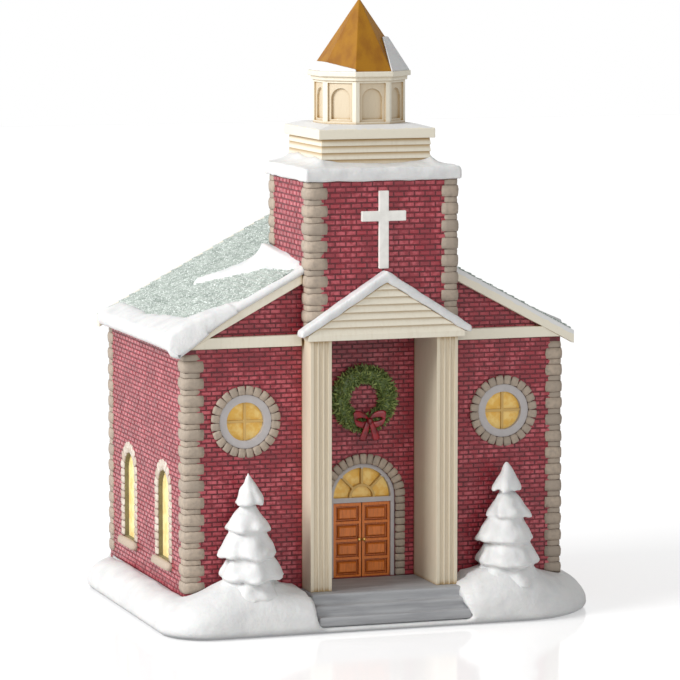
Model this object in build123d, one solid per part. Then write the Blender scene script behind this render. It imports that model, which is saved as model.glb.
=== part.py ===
"""Lit ceramic village church: brick nave, tower with lantern and spire, porch, snow base, light unit.

Millimetres. X to the viewer's right, Y to the back, Z up, origin under the middle of the base.
"""
import os
from math import cos, pi, radians, sin, tan

from build123d import *

# General: one overrun for all cuts, one small gap between glued pieces
overrun = 5.0
fit = 0.15

# Snow base
side_margin = 12.0
back_margin = 12.0
base_floor = 5.0
ground_z = 12.6
forecourt = 25.0
corner_front_left = 16.0
corner_front_right = 34.0
corner_back = 24.0
mound_inset = 10.5
mound_height_shares = (0.0, 0.2, 0.58, 0.86, 1.0)
mound_inset_shares = (0.12, 0.0, 0.14, 0.48, 1.0)

# Nave
nave_width = 140.0
nave_depth = 101.0
wall = 4.0
eave_z = 100.1
roof_pitch = 28.0
roof_thickness = 2.4
eave_overhang = 4.0
rake_depth = 3.5
rake_drop = 1.9
cornice_depth = 3.0
cornice_z = 98.6
cornice_height = 3.9

# Porch recess, piers and pediment
porch_depth = 14.2
door_wall = 3.0
porch_top_z = 101.1
pier_width = 7.8
pier_front = 10.2
flute_count = 3
flute_radius = 0.75
pediment_depth = 5.2
pediment_half = 29.0
pediment_rise = 18.0
pediment_fascia = 2.0
pediment_lap_count = 7
lap_out = 0.9
pediment_snow_rise = 3.9
pediment_snow_overhang = 2.6

# Steps
step_count = 3
step_rise = 3.4
step_going = 4.2
platform_z = 12.4
platform_front = 15.0
steps_margin = 1.1

# Tower
tower_half = 27.3
tower_front = 8.0
tower_depth = 44.5
tower_top_z = 156.3
porch_ceiling = 3.0

# Stone quoins
quoin_proud = 0.7
quoin_tall = 4.0
quoin_low = 1.7
quoin_long = 7.6
quoin_short = 5.6

# Cross on the tower
cross_height = 27.3
cross_span = 16.4
cross_bar = 3.6
cross_thickness = 1.4
cross_foot_z = 125.5
cross_arm_share = 0.675

# Ledge, plinth, lantern and spire
ledge_height = 4.6
ledge_overhang = 2.6
ledge_round = 1.9
plinth_half = 20.4
plinth_depth = 38.0
plinth_setback = 7.2
plinth_lap_count = 4
plinth_lap = 2.4
plinth_lap_taper = 9.0
cap_height = 3.4
cap_overhang = 1.2
cap_snow = 1.4
lantern_radius = 16.4
lantern_height = 15.2
niche_field_margin = 1.5
niche_field_depth = 0.6
niche_half = 3.7
niche_depth = 0.9
niche_foot = 1.6
niche_head = 2.6
lantern_side_count = 8
lantern_cornice_height = 3.3
lantern_cornice_out = 2.0
lantern_bed_out = 0.8
lantern_bed_share = 0.45
spire_radius = 17.2
spire_height = 24.9
spire_tip = 0.35
spire_snow_thickness = 0.9
spire_snow_low_share = 0.22
spire_snow_high_share = 0.62

# Doors and fanlight
door_margin = 3.6
door_frame_width = 1.4
door_head_z = 39.4
lintel = 1.8
door_set_back = 0.9
door_thickness = 1.5
panel_count = 4
panel_margin = 1.5
panel_relief = 0.55
panel_taper = 35.0
frame_set_back = 0.3
frame_thickness = 2.0
glazing_bar = 0.8
fan_bar_angles = (45.0, 90.0, 135.0)
fan_hub_share = 0.45
pane_thickness = 0.9
surround_width = 3.7
surround_proud = 1.2
surround_stone_count = 13
joint_width = 0.5
joint_depth = 0.45
knob_radius = 0.75

# Round windows
round_shift = 2.9
round_margin = 5.2
round_z = 72.4
round_stone_width = 3.2
round_frame_width = 2.7
round_stone_count = 24
round_frame_proud = 0.5
round_frame_depth = 2.6
round_glass_set_back = 1.3
round_bar = 0.9

# Arched side windows
side_window_pitch = 46.0
side_half = 7.0
side_sill_z = 20.6
side_spring_z = 45.5
side_stone = 4.0
side_stone_proud = 0.8
side_stone_count = 9
side_set_back = 1.5
sill_height = 3.0
sill_proud = 2.2

# Wreath and bow
wreath_z = 77.0
wreath_ring = 9.2
wreath_tube = 3.3
wreath_sink = 1.7
bow_loop = 4.6
bow_loop_height = 3.6
bow_knot = 1.5
bow_tail = 8.0
bow_tail_width = 2.4
bow_thickness = 1.6
bow_sink_share = 0.35

# Trees
tree_left_share = 0.533
tree_right_share = 0.438
tree_front = 10.0
tree_height = 43.1
tree_radius = 11.6
tree_foot = 4.0
tree_tip = 0.6
tier_low_shares = (0.77, 0.557, 0.357, 0.172)
tier_radius_shares = (0.48, 0.69, 0.92, 1.0)
tier_neck_shares = (0.27, 0.45, 0.62, 0.92)
tier_lift_share = 0.02
tier_swell_share = 0.09

# Roof snow
snow_thickness = 1.8
eave_drift = 13.0
tower_drift = 19.0
drift_crest_shares = (1.0, 0.7, 1.0, 0.62, 0.85, 0.6, 1.0)

# Light unit
cell_diameter = 10.5
cell_length = 43.5
cell_nub = 1.0
cell_nub_radius = 2.75
cell_count = 3
cell_gap = 0.3
contact_space = 3.4
contact_thickness = 0.4
contact_width = 7.0
housing_wall = 1.6
housing_lift = 1.2
flange_thickness = 2.2
flange_width = 3.2
switch_bay = 8.0
door_plate = 2.0
door_lip = 0.8
door_gap = 0.25
hinge_pin = 0.6
hinge_pin_length = 1.2
hinge_pin_gap = 0.08
latch_width = 9.0
latch_length = 1.8
latch_thickness = 0.9
grip_count = 3
grip_pitch = 1.6
grip_length = 8.0
grip_height = 0.35
switch_length = 9.5
switch_width = 5.0
switch_height = 4.2
switch_knob_length = 3.0
switch_knob_width = 2.2
switch_knob_out = 0.75
switch_knob_in = 1.6
switch_travel = 3.0
switch_gap = 0.2
board_length = 24.0
board_width = 16.0
board_thickness = 1.2
led_radius = 2.5
led_rim_radius = 2.9
led_rim = 1.0
led_height = 8.6

# Places that follow from the sizes above
base_width = nave_width + 2 * side_margin
base_depth = forecourt + nave_depth + back_margin
facade_y = -base_depth / 2 + forecourt
back_y = facade_y + nave_depth
nave_half = nave_width / 2
slope = tan(radians(roof_pitch))
roof_lift = roof_thickness / cos(radians(roof_pitch))
ridge_under_z = eave_z + nave_half * slope
eave_x = nave_half + eave_overhang
front_bay = nave_half - tower_half
quoin_reach = quoin_long - quoin_proud
round_x = tower_half + (front_bay - quoin_reach) / 2 + round_shift
round_stone = (front_bay - quoin_reach) / 2 - round_margin
round_frame = round_stone - round_stone_width
round_glass = round_frame - round_frame_width
tree_left_x = -tower_half - front_bay * tree_left_share
tree_right_x = tower_half + front_bay * tree_right_share
door_wall_y = facade_y + porch_depth
steps_half = tower_half + steps_margin
porch_half = tower_half - pier_width
door_half = porch_half - door_margin - surround_width - door_frame_width
tower_y0 = facade_y - tower_front
tower_y1 = tower_y0 + tower_depth
ledge_top_z = tower_top_z + ledge_height
plinth_y = tower_y0 + plinth_setback + plinth_depth / 2
cap_z = ledge_top_z + plinth_lap_count * plinth_lap
lantern_z = cap_z + cap_height + cap_snow
spire_z = lantern_z + lantern_height + lantern_cornice_height
arch_half = door_half + door_frame_width
arch_z = door_head_z + lintel
light_y = (door_wall_y + door_wall + back_y - wall) / 2


def block(x0, x1, y0, y1, z0, z1):
    """A box between two corners."""
    return Pos((x0 + x1) / 2, (y0 + y1) / 2, (z0 + z1) / 2) * Box(x1 - x0, y1 - y0, z1 - z0)


def front_prism(shape, y0, y1):
    """A face drawn in X and Z, carried from y0 back to y1."""
    plane = Plane((0, y1, 0), x_dir=(1, 0, 0), z_dir=(0, -1, 0))
    return extrude(plane * shape, amount=y1 - y0)


def side_prism(shape, x0, x1):
    """A face drawn in Y and Z, carried from x0 to x1."""
    plane = Plane((x0, 0, 0), x_dir=(0, 1, 0), z_dir=(1, 0, 0))
    return extrude(plane * shape, amount=x1 - x0)


def outline(*points):
    return make_face(Polyline(*points, close=True))


def arch_face(half, foot, spring):
    """A round-headed opening: straight jambs and a half circle over them."""
    jambs = Polyline((-half, spring), (-half, foot), (half, foot), (half, spring))
    head = ThreePointArc((half, spring), (0, spring + half), (-half, spring))
    return make_face(jambs + head)


def roof_line(x):
    """Height of the roof's underside at a distance from the middle."""
    return ridge_under_z - abs(x) * slope


def radial_joints(count, start, sweep, inner, outer):
    """Thin bars on rays about the origin, in the drawing plane: the joints between arch stones."""
    length = outer - inner + 2 * joint_width
    step = sweep / count
    bars = Sketch()
    for i in range(count + 1):
        turn = Rot(0, 0, start + i * step)
        bars += turn * Pos((inner + outer) / 2, 0) * Rectangle(length, joint_width)
    return bars


def base_section(height_share, inset_share):
    inset = mound_inset * inset_share
    face = Rectangle(base_width - 2 * inset, base_depth - 2 * inset)
    for x_side, y_side, radius in ((-1, -1, corner_front_left), (1, -1, corner_front_right),
                                   (-1, 1, corner_back), (1, 1, corner_back)):
        corner = [v for v in face.vertices() if v.X * x_side > 0 and v.Y * y_side > 0]
        far = max(corner, key=lambda v: v.X * x_side + v.Y * y_side)
        face = fillet(far, radius)
    return Pos(0, 0, ground_z * height_share) * face


def steps():
    """Stair profile carried across, with the porch floor running back to the door wall."""
    foot = platform_z - step_count * step_rise
    last = facade_y - platform_front - (step_count - 1) * step_going
    points = [(door_wall_y, foot), (last, foot)]
    for i in range(step_count):
        y = last + i * step_going
        points += [(y, foot + i * step_rise), (y, foot + (i + 1) * step_rise)]
    points = [p for i, p in enumerate(points) if i == 0 or p != points[i - 1]]
    points.append((door_wall_y, platform_z))
    stair = side_prism(outline(*points), -steps_half, steps_half)
    for side in (-1, 1):
        x0, x1 = sorted((side * tower_half, side * (steps_half + overrun)))
        stair -= block(x0, x1, facade_y, back_y, 0, platform_z + overrun)
    return stair


def light_sizes():
    """Outer and inner sizes of the battery box, from the cells it holds."""
    bay_length = cell_length + cell_nub + contact_space + contact_thickness
    bay_width = cell_count * (cell_diameter + cell_gap) + cell_gap
    length = bay_length + 2 * housing_wall
    width = bay_width + switch_bay + 3 * housing_wall
    bay_y = light_y - width / 2 + housing_wall + bay_width / 2
    return bay_length, bay_width, length, width, bay_y


bay_length, bay_width, housing_length, housing_width, bay_y = light_sizes()
seat_z = housing_lift + flange_thickness
bay_top_z = seat_z + cell_gap + cell_diameter + cell_gap
housing_top_z = bay_top_z + housing_wall
hinge_x = -bay_length / 2 - door_lip + door_plate / 2
hinge_z = housing_lift + door_plate / 2
door_width = bay_width + 2 * door_lip
door_end_x = bay_length / 2 + door_lip
switch_y = light_y + housing_width / 2 - housing_wall - switch_bay / 2
switch_rest_x = -switch_travel / 2


def snow_base():
    """Snow mound with a pocket for the walls, a notch for the steps and the light unit's opening."""
    sections = [base_section(*share) for share in zip(mound_height_shares, mound_inset_shares)]
    mound = loft(sections)
    mound -= block(-nave_half, nave_half, facade_y, back_y, base_floor, ground_z + overrun)
    foot = platform_z - step_count * step_rise
    mound -= block(-steps_half, steps_half, -base_depth, facade_y, foot, ground_z + overrun)
    mound -= block(-tower_half, tower_half, facade_y, door_wall_y, foot, ground_z + overrun)
    clear_length = housing_length + 2 * flange_width + 2 * fit
    clear_width = housing_width + 2 * flange_width + 2 * fit
    rebate = block(-clear_length / 2, clear_length / 2, light_y - clear_width / 2,
                   light_y + clear_width / 2, -overrun, seat_z)
    hole = block(-housing_length / 2 - fit, housing_length / 2 + fit,
                 light_y - housing_width / 2 - fit, light_y + housing_width / 2 + fit,
                 -overrun, base_floor + overrun)
    return mound - rebate - hole


def gable_face(half, foot):
    top = roof_line(half)
    return outline((-half, foot), (half, foot), (half, top), (0, ridge_under_z), (-half, top))


def door_opening(y0, y1, half):
    return front_prism(arch_face(half, platform_z, arch_z), y0, y1)


def side_window_ys():
    middle = (facade_y + back_y) / 2
    return (middle - side_window_pitch / 2, middle + side_window_pitch / 2)


def nave_walls():
    """Gabled brick hall, open under the roof, with the porch recess let into the front."""
    inner_half = nave_half - wall
    tall = ridge_under_z + overrun
    shell = front_prism(gable_face(nave_half, base_floor), facade_y, back_y)
    shell -= block(-inner_half, inner_half, facade_y + wall, back_y - wall, base_floor, tall)
    shell -= block(-tower_half, tower_half, facade_y - overrun, facade_y + wall, base_floor, tall)
    recess_half = tower_half + door_wall
    recess = block(-recess_half, recess_half, facade_y + wall, door_wall_y + door_wall,
                   base_floor, porch_top_z)
    recess -= block(-tower_half, tower_half, facade_y, door_wall_y, base_floor, porch_top_z)
    recess -= door_opening(door_wall_y, door_wall_y + door_wall, arch_half)
    shell += recess
    for side in (-1, 1):
        shell -= front_prism(Pos(side * round_x, round_z) * Circle(round_frame),
                             facade_y - overrun, facade_y + wall)
        x0, x1 = sorted((side * inner_half, side * (nave_half + overrun)))
        for y in side_window_ys():
            opening = Pos(y, 0) * arch_face(side_half, side_sill_z, side_spring_z)
            shell -= side_prism(opening, x0, x1)
    return shell


def tower_block(y0=tower_y0, y1=tower_y1):
    return block(-tower_half, tower_half, y0, y1, porch_top_z, tower_top_z)


def tower_walls():
    """Square brick tower over the porch, open down into the nave behind the door wall."""
    inner = tower_half - wall
    room = block(-inner, inner, tower_y0 + wall, tower_y1 - wall, porch_top_z + porch_ceiling,
                 tower_top_z)
    well = block(-inner, inner, door_wall_y + door_wall, tower_y1 - wall, porch_top_z,
                 tower_top_z)
    return tower_block() - room - well


def nave_roof():
    """Two slopes as one folded slab, notched round the tower."""
    points = [(0, ridge_under_z + roof_lift), (eave_x, roof_line(eave_x) + roof_lift),
              (eave_x, roof_line(eave_x)), (0, ridge_under_z),
              (-eave_x, roof_line(eave_x)), (-eave_x, roof_line(eave_x) + roof_lift)]
    return front_prism(outline(*points), facade_y, back_y) - tower_block()


def rake_board(side, inner_x):
    """One raking board: from the roof's top to a little below its underside."""
    near, far = side * inner_x, side * eave_x
    return outline((near, roof_line(near) - rake_drop), (far, roof_line(far) - rake_drop),
                   (far, roof_line(far) + roof_lift), (near, roof_line(near) + roof_lift))


def gable_cornice(side, stones):
    """Raking board and level cornice of one half of the front gable."""
    inner_x = tower_half + quoin_proud
    board = front_prism(rake_board(side, inner_x), facade_y - rake_depth, facade_y)
    x0, x1 = sorted((side * inner_x, side * nave_half))
    level = block(x0, x1, facade_y - cornice_depth, facade_y, cornice_z, cornice_z + cornice_height)
    under_roof = front_prism(gable_face(eave_x, base_floor), facade_y - cornice_depth, facade_y)
    return board + (level & under_roof) - stones


def back_gable_trim():
    trim = front_prism(rake_board(-1, 0), back_y, back_y + rake_depth)
    return trim + front_prism(rake_board(1, 0), back_y, back_y + rake_depth)


def roof_plane(side):
    """Drawing plane on one slope: first axis along the eave, second up the slope."""
    normal = (side * sin(radians(roof_pitch)), 0, cos(radians(roof_pitch)))
    start_y = facade_y if side > 0 else back_y
    return Plane((side * eave_x, start_y, roof_line(eave_x) + roof_lift), x_dir=(0, side, 0), z_dir=normal)


def roof_snow(stones):
    """A drift along each eave and one against each side of the tower."""
    tower_foot = (eave_x - tower_half) / cos(radians(roof_pitch))
    spans = len(drift_crest_shares) - 1
    solids = Part()
    for side in (-1, 1):
        plane = roof_plane(side)
        crest = [(nave_depth * i / spans, eave_drift * share)
                 for i, share in enumerate(drift_crest_shares)]
        if side < 0:
            crest = [(nave_depth - along, up) for along, up in reversed(crest)]
        rim = Polyline(crest[-1], (nave_depth, 0), (0, 0), crest[0])
        solids += extrude(plane * make_face(Spline(*crest) + rim), amount=snow_thickness)
        near, far = 0, tower_y1 - facade_y
        if side < 0:
            near, far = nave_depth - far, nave_depth
        reach = tower_foot - tower_drift
        bank = Spline((near, tower_foot), ((near + far) / 2, reach), (far, tower_foot))
        lee = Line((far, tower_foot), (near, tower_foot))
        solids += extrude(plane * make_face(bank + lee), amount=snow_thickness)
    return solids - tower_block() - stones


def quoin_stack(x_side, y_side, half, corner_y, foot, top):
    """Corner stones, long and short in turn, as one stack round a wall corner."""
    stack = Part()
    z, long_turn = foot, True
    outer_x = x_side * (half + quoin_proud)
    outer_y = corner_y + y_side * quoin_proud
    while z + quoin_low < top:
        tall = min(quoin_tall if long_turn else quoin_low, top - z)
        reach = quoin_long if long_turn else quoin_short
        x0, x1 = sorted((outer_x, outer_x - x_side * reach))
        y0, y1 = sorted((outer_y, outer_y - y_side * reach))
        stack += block(x0, x1, y0, y1, z, z + tall)
        z += tall
        long_turn = not long_turn
    return stack


def nave_quoins(y_side):
    core = block(-nave_half, nave_half, facade_y, back_y, 0, eave_z + overrun)
    corner_y = facade_y if y_side < 0 else back_y
    top = min(cornice_z, roof_line(nave_half + quoin_proud) - rake_drop)
    stones = Part()
    for x_side in (-1, 1):
        stones += quoin_stack(x_side, y_side, nave_half, corner_y, ground_z, top) - core
    return stones


def tower_quoins(y_side):
    corner_y = tower_y0 if y_side < 0 else tower_y1
    core = block(-tower_half, tower_half, tower_y0, tower_y1, 0, tower_top_z + overrun)
    gable = front_prism(gable_face(nave_half, base_floor), facade_y, back_y)
    stones = Part()
    for x_side in (-1, 1):
        stack = quoin_stack(x_side, y_side, tower_half, corner_y, porch_top_z, tower_top_z)
        stones += stack - core - gable - nave_roof() - pediment() - pediment_snow()
    return stones


def tower_cross():
    half = cross_bar / 2
    foot, top = cross_foot_z, cross_foot_z + cross_height
    arm = foot + cross_height * cross_arm_share
    y0, y1 = tower_y0 - cross_thickness, tower_y0
    return block(-half, half, y0, y1, foot, top) + block(
        -cross_span / 2, cross_span / 2, y0, y1, arm - half, arm + half)


def tower_ledge():
    """Snow-laden slab on the tower head, its upper edge rounded over."""
    out = tower_half + quoin_proud + ledge_overhang
    y0 = tower_y0 - quoin_proud - ledge_overhang
    y1 = tower_y1 + quoin_proud + ledge_overhang
    slab = block(-out, out, y0, y1, tower_top_z, ledge_top_z)
    slab = fillet(slab.edges().filter_by(Axis.Z), ledge_round)
    return fillet(slab.faces().sort_by(Axis.Z)[-1].edges(), ledge_round)


def belfry_plinth():
    """Clapboard box: each lap leans in to the foot of the next."""
    plinth = Part()
    for i in range(plinth_lap_count):
        lap = extrude(Rectangle(2 * plinth_half, plinth_depth), amount=plinth_lap,
                      taper=plinth_lap_taper)
        plinth += Pos(0, plinth_y, ledge_top_z + i * plinth_lap) * lap
    return plinth


def plinth_cap():
    width = 2 * (plinth_half + cap_overhang)
    depth = plinth_depth + 2 * cap_overhang
    band = Pos(0, plinth_y, cap_z) * extrude(Rectangle(width, depth), amount=cap_height)
    foot = Rectangle(width, depth)
    head = Rectangle(2 * lantern_radius, 2 * lantern_radius)
    top_z = cap_z + cap_height
    snow = loft([Pos(0, plinth_y, top_z) * foot, Pos(0, plinth_y, top_z + cap_snow) * head])
    return band + snow


def octagon(radius):
    """A flat side of the octagon faces the front."""
    return RegularPolygon(radius, lantern_side_count, rotation=180.0 / lantern_side_count)


def lantern():
    """Octagon with corner pilasters and an arched niche in every side."""
    body = Pos(0, plinth_y, lantern_z) * extrude(octagon(lantern_radius), amount=lantern_height)
    apothem = lantern_radius * cos(pi / lantern_side_count)
    side_half_width = lantern_radius * sin(pi / lantern_side_count)
    field_half = side_half_width - niche_field_margin
    field_top = lantern_height - niche_foot / 2
    field = outline((-field_half, niche_foot / 2), (field_half, niche_foot / 2),
                    (field_half, field_top), (-field_half, field_top))
    niche = arch_face(niche_half, niche_foot, lantern_height - niche_head - niche_half)
    cutter = front_prism(field, -apothem - overrun, -apothem + niche_field_depth)
    cutter += front_prism(niche, -apothem - overrun, -apothem + niche_field_depth + niche_depth)
    for i in range(lantern_side_count):
        body -= Pos(0, plinth_y, lantern_z) * Rot(0, 0, i * 360.0 / lantern_side_count) * cutter
    return body


def lantern_cornice():
    bed = lantern_cornice_height * lantern_bed_share
    lower = extrude(octagon(lantern_radius + lantern_bed_out), amount=bed)
    upper = extrude(octagon(lantern_radius + lantern_cornice_out),
                    amount=lantern_cornice_height - bed)
    return Pos(0, plinth_y, lantern_z + lantern_height) * (lower + Pos(0, 0, bed) * upper)


def pyramid(radius, height, tip):
    return Pos(0, plinth_y, spire_z) * loft([octagon(radius), Pos(0, 0, height) * octagon(tip)])


def spire():
    return pyramid(spire_radius, spire_height, spire_tip)


def spire_snow():
    """Thin snow left on the right-hand sides of the spire and along the left foot."""
    thick = spire_snow_thickness
    shell = pyramid(spire_radius + thick, spire_height + thick, spire_tip + thick) - spire()
    reach = spire_radius + overrun
    high = spire_z + spire_height * spire_snow_high_share
    low = spire_z + spire_height * spire_snow_low_share
    edge = spire_radius * sin(pi / lantern_side_count)
    front = plinth_y - spire_radius
    right = outline((edge, spire_z), (reach, spire_z), (reach, spire_z + thick), (edge, high))
    left = outline((-edge, spire_z), (-reach, spire_z), (-reach, low), (-edge, spire_z + thick))
    keep = front_prism(right, front, plinth_y + edge)
    keep += front_prism(left, front, plinth_y + edge)
    return shell & keep


def pediment_face():
    spring = porch_top_z + pediment_fascia
    return outline((-pediment_half, porch_top_z), (pediment_half, porch_top_z),
                   (pediment_half, spring), (0, spring + pediment_rise), (-pediment_half, spring))


def pediment():
    """Triangular gable over the porch, faced with lapped boards."""
    y0, y1 = tower_y0 - pediment_depth, tower_y0
    body = front_prism(pediment_face(), y0 + lap_out, y1)
    spring = porch_top_z + pediment_fascia
    lap = pediment_rise / pediment_lap_count
    boards = block(-pediment_half, pediment_half, y0, y0 + lap_out, porch_top_z, spring)
    for i in range(pediment_lap_count):
        z = spring + i * lap
        wedge = outline((y0 + lap_out, z), (y0, z), (y0 + lap_out, z + lap))
        boards += side_prism(wedge, -pediment_half, pediment_half)
    return body + (boards & front_prism(pediment_face(), y0, y0 + lap_out))


def pediment_snow():
    """Snow lying on both slopes of the pediment, thick at the eaves."""
    spring = porch_top_z + pediment_fascia
    top = spring + pediment_rise
    out = pediment_half + pediment_snow_overhang
    drop = pediment_snow_overhang * pediment_rise / pediment_half
    right = [(0, top), (pediment_half, spring), (out, spring - drop / 2), (out, spring + drop)]
    peak = (0, top + pediment_snow_rise)
    left = [(-x, z) for x, z in reversed(right[1:])]
    face = outline(*right, peak, *left)
    return front_prism(face, tower_y0 - pediment_depth - lap_out / 2, tower_y0)


def pier(side):
    """Fluted pier: a deep plain wall end with vertical flutes on its front."""
    x0, x1 = sorted((side * porch_half, side * tower_half))
    front = facade_y - pier_front
    shaft = block(x0, x1, front, door_wall_y, platform_z, porch_top_z)
    pitch = pier_width / (flute_count + 1)
    for i in range(flute_count):
        x = x0 + (i + 1) * pitch
        flute = Cylinder(flute_radius, porch_top_z - platform_z + overrun)
        shaft -= Pos(x, front - flute_radius / 4, (platform_z + porch_top_z) / 2) * flute
    return shaft


def door(side):
    """One leaf with a column of raised panels."""
    x0, x1 = sorted((side * fit, side * (door_half - fit)))
    y0 = door_wall_y + door_set_back
    foot, head = platform_z, door_head_z - fit
    leaf = block(x0, x1, y0, y0 + door_thickness, foot, head)
    width = x1 - x0 - 2 * panel_margin
    pitch = (head - foot - panel_margin) / panel_count
    height = pitch - panel_margin
    for i in range(panel_count):
        z = foot + panel_margin + i * pitch + height / 2
        plane = Plane(((x0 + x1) / 2, y0, z), x_dir=(1, 0, 0), z_dir=(0, -1, 0))
        leaf += extrude(plane * Rectangle(width, height), amount=panel_relief, taper=panel_taper)
    return leaf


def door_knobs():
    z = (platform_z + door_head_z) / 2
    y = door_wall_y + door_set_back
    knobs = Part()
    for side in (-1, 1):
        ball = Pos(side * panel_margin / 2 + side * fit, y, z) * Sphere(knob_radius)
        knobs += ball - block(-door_half, door_half, y, y + overrun, platform_z, door_head_z)
    return knobs


def door_frame():
    """Jambs, lintel, arch ring and glazing bars, cut from one arched board."""
    board = arch_face(arch_half, platform_z, arch_z)
    leaf_gap = outline((-door_half, platform_z), (door_half, platform_z), (door_half, door_head_z),
                       (-door_half, door_head_z))
    glass = Circle(door_half) & (Pos(0, door_half) * Rectangle(2 * door_half, 2 * door_half))
    bars = Circle(door_half * fan_hub_share) - Circle(door_half * fan_hub_share - glazing_bar)
    for angle in fan_bar_angles:
        hub = door_half * fan_hub_share
        bars += Rot(0, 0, angle) * Pos((door_half + hub) / 2, 0) * Rectangle(
            door_half - hub + glazing_bar, glazing_bar)
    face = board - leaf_gap - Pos(0, arch_z) * (glass - bars)
    y0 = door_wall_y + frame_set_back
    return front_prism(face, y0, y0 + frame_thickness)


def fanlight_pane():
    half_disc = Circle(arch_half) & (Pos(0, arch_half) * Rectangle(2 * arch_half, 2 * arch_half))
    y0 = door_wall_y + frame_set_back + frame_thickness
    return front_prism(Pos(0, arch_z) * half_disc, y0, door_wall_y + door_wall)


def door_surround():
    """Stone arch and jambs round the doorway, with open joints between the stones."""
    outer = arch_half + surround_width
    ring = arch_face(outer, platform_z, arch_z) - arch_face(arch_half, platform_z, arch_z)
    y0, y1 = door_wall_y - surround_proud, door_wall_y
    stones = front_prism(ring, y0, y1)
    joints = Pos(0, arch_z) * radial_joints(surround_stone_count, 0, 180.0, arch_half, outer)
    pitch = pi * outer / surround_stone_count
    row = int((arch_z - platform_z) / pitch)
    for i in range(1, row + 1):
        for side in (-1, 1):
            place = Pos(side * (arch_half + outer) / 2, arch_z - i * pitch)
            joints += place * Rectangle(surround_width + 2 * joint_width, joint_width)
    return stones - front_prism(joints, y0 - overrun, y0 + joint_depth)


def round_surround(side):
    """Ring of small stones round a round window."""
    ring = Circle(round_stone) - Circle(round_frame)
    y0 = facade_y - surround_proud
    stones = front_prism(ring, y0, facade_y)
    joints = radial_joints(round_stone_count, 0, 360.0, round_frame, round_stone)
    stones -= front_prism(joints, y0 - overrun, y0 + joint_depth)
    return Pos(side * round_x, 0, round_z) * stones


def round_frame_ring(side):
    """Smooth ring with a cross of glazing bars."""
    ring = Circle(round_frame) - Circle(round_glass)
    body = front_prism(ring, facade_y - round_frame_proud, facade_y + round_frame_depth)
    bars = Rectangle(2 * round_glass, round_bar) + Rectangle(round_bar, 2 * round_glass)
    bars = bars & Circle(round_glass)
    body += front_prism(bars, facade_y + round_glass_set_back - round_bar,
                        facade_y + round_glass_set_back)
    return Pos(side * round_x, 0, round_z) * body


def round_pane(side):
    y0 = facade_y + round_glass_set_back
    return Pos(side * round_x, 0, round_z) * front_prism(Circle(round_glass), y0, y0 + pane_thickness)


def on_side_wall(side, face, out, depth):
    """A face drawn in Y and Z, standing out of (or let into) a long wall."""
    x0, x1 = sorted((side * (nave_half + out), side * (nave_half - depth)))
    return side_prism(face, x0, x1)


def side_surround(side, y):
    """Stone arch and jambs with a projecting sill."""
    outer = side_half + side_stone
    foot = side_sill_z
    ring = arch_face(outer, foot, side_spring_z) - arch_face(side_half, foot, side_spring_z)
    stones = on_side_wall(side, Pos(y, 0) * ring, side_stone_proud, 0)
    joints = Pos(y, side_spring_z) * radial_joints(side_stone_count, 0, 180.0, side_half, outer)
    deep = side_stone_proud - joint_depth
    stones -= on_side_wall(side, joints, side_stone_proud + overrun, -deep)
    sill = Pos(y, foot - sill_height / 2) * Rectangle(2 * outer, sill_height)
    return stones + on_side_wall(side, sill, sill_proud, 0)


def side_pane(side, y):
    face = Pos(y, 0) * arch_face(side_half, side_sill_z, side_spring_z)
    return on_side_wall(side, face, -side_set_back, side_set_back + pane_thickness)


def wreath():
    """Ring set against the door wall, its back cut flat."""
    y = door_wall_y - wreath_sink
    ring = Pos(0, y, wreath_z) * Rot(90, 0, 0) * Torus(wreath_ring, wreath_tube)
    reach = wreath_ring + wreath_tube + overrun
    return ring - block(-reach, reach, door_wall_y, door_wall_y + reach, wreath_z - reach,
                        wreath_z + reach)


def wreath_bow():
    """Two loops, a knot and two tails on the lower front of the wreath."""
    z = wreath_z - wreath_ring
    loops = Sketch()
    for side in (-1, 1):
        loop = Ellipse(bow_loop / 2, bow_loop_height / 2)
        loops += Pos(side * bow_loop / 2, 0) * loop
        tail = outline((0, 0), (side * bow_tail_width, -bow_tail),
                       (side * 2 * bow_tail_width, -bow_tail + bow_tail_width),
                       (side * bow_tail_width, 0))
        loops += tail
    loops += Circle(bow_knot)
    front = door_wall_y - wreath_sink - wreath_tube
    y1 = front + bow_thickness * bow_sink_share
    bow = front_prism(Pos(0, z) * loops, y1 - bow_thickness, y1)
    return bow - wreath()


def tree(x, base):
    """Snow-laden fir: drooping tiers turned about a stem, cast against the front wall."""
    top = tree_height
    lower = [(0, -tree_foot), (tree_radius * tier_neck_shares[-1], -tree_foot)]
    path = Line(*lower)
    point = lower[1]
    tiers = list(zip(tier_low_shares, tier_radius_shares, tier_neck_shares))
    for low, radius, neck in reversed(tiers):
        edge = (tree_radius * radius, top * low)
        path += Line(point, edge)
        index = tiers.index((low, radius, neck))
        if index:
            above = tiers[index - 1]
            end = (tree_radius * above[2], top * (above[0] + tier_lift_share))
        else:
            end = (tree_tip, top)
        swell = top * tier_swell_share / 4
        middle = ((edge[0] + end[0]) / 2 + swell, (edge[1] + end[1]) / 2)
        path += ThreePointArc(edge, middle, end)
        point = end
    path += Polyline(point, (0, top), (0, -tree_foot))
    profile = Plane.XZ * make_face(path)
    fir = Pos(x, facade_y - tree_front, ground_z) * revolve(profile, Axis.Z)
    behind = block(x - nave_half, x + nave_half, facade_y, back_y, 0, ground_z + tree_height)
    return fir - behind - base


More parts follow.
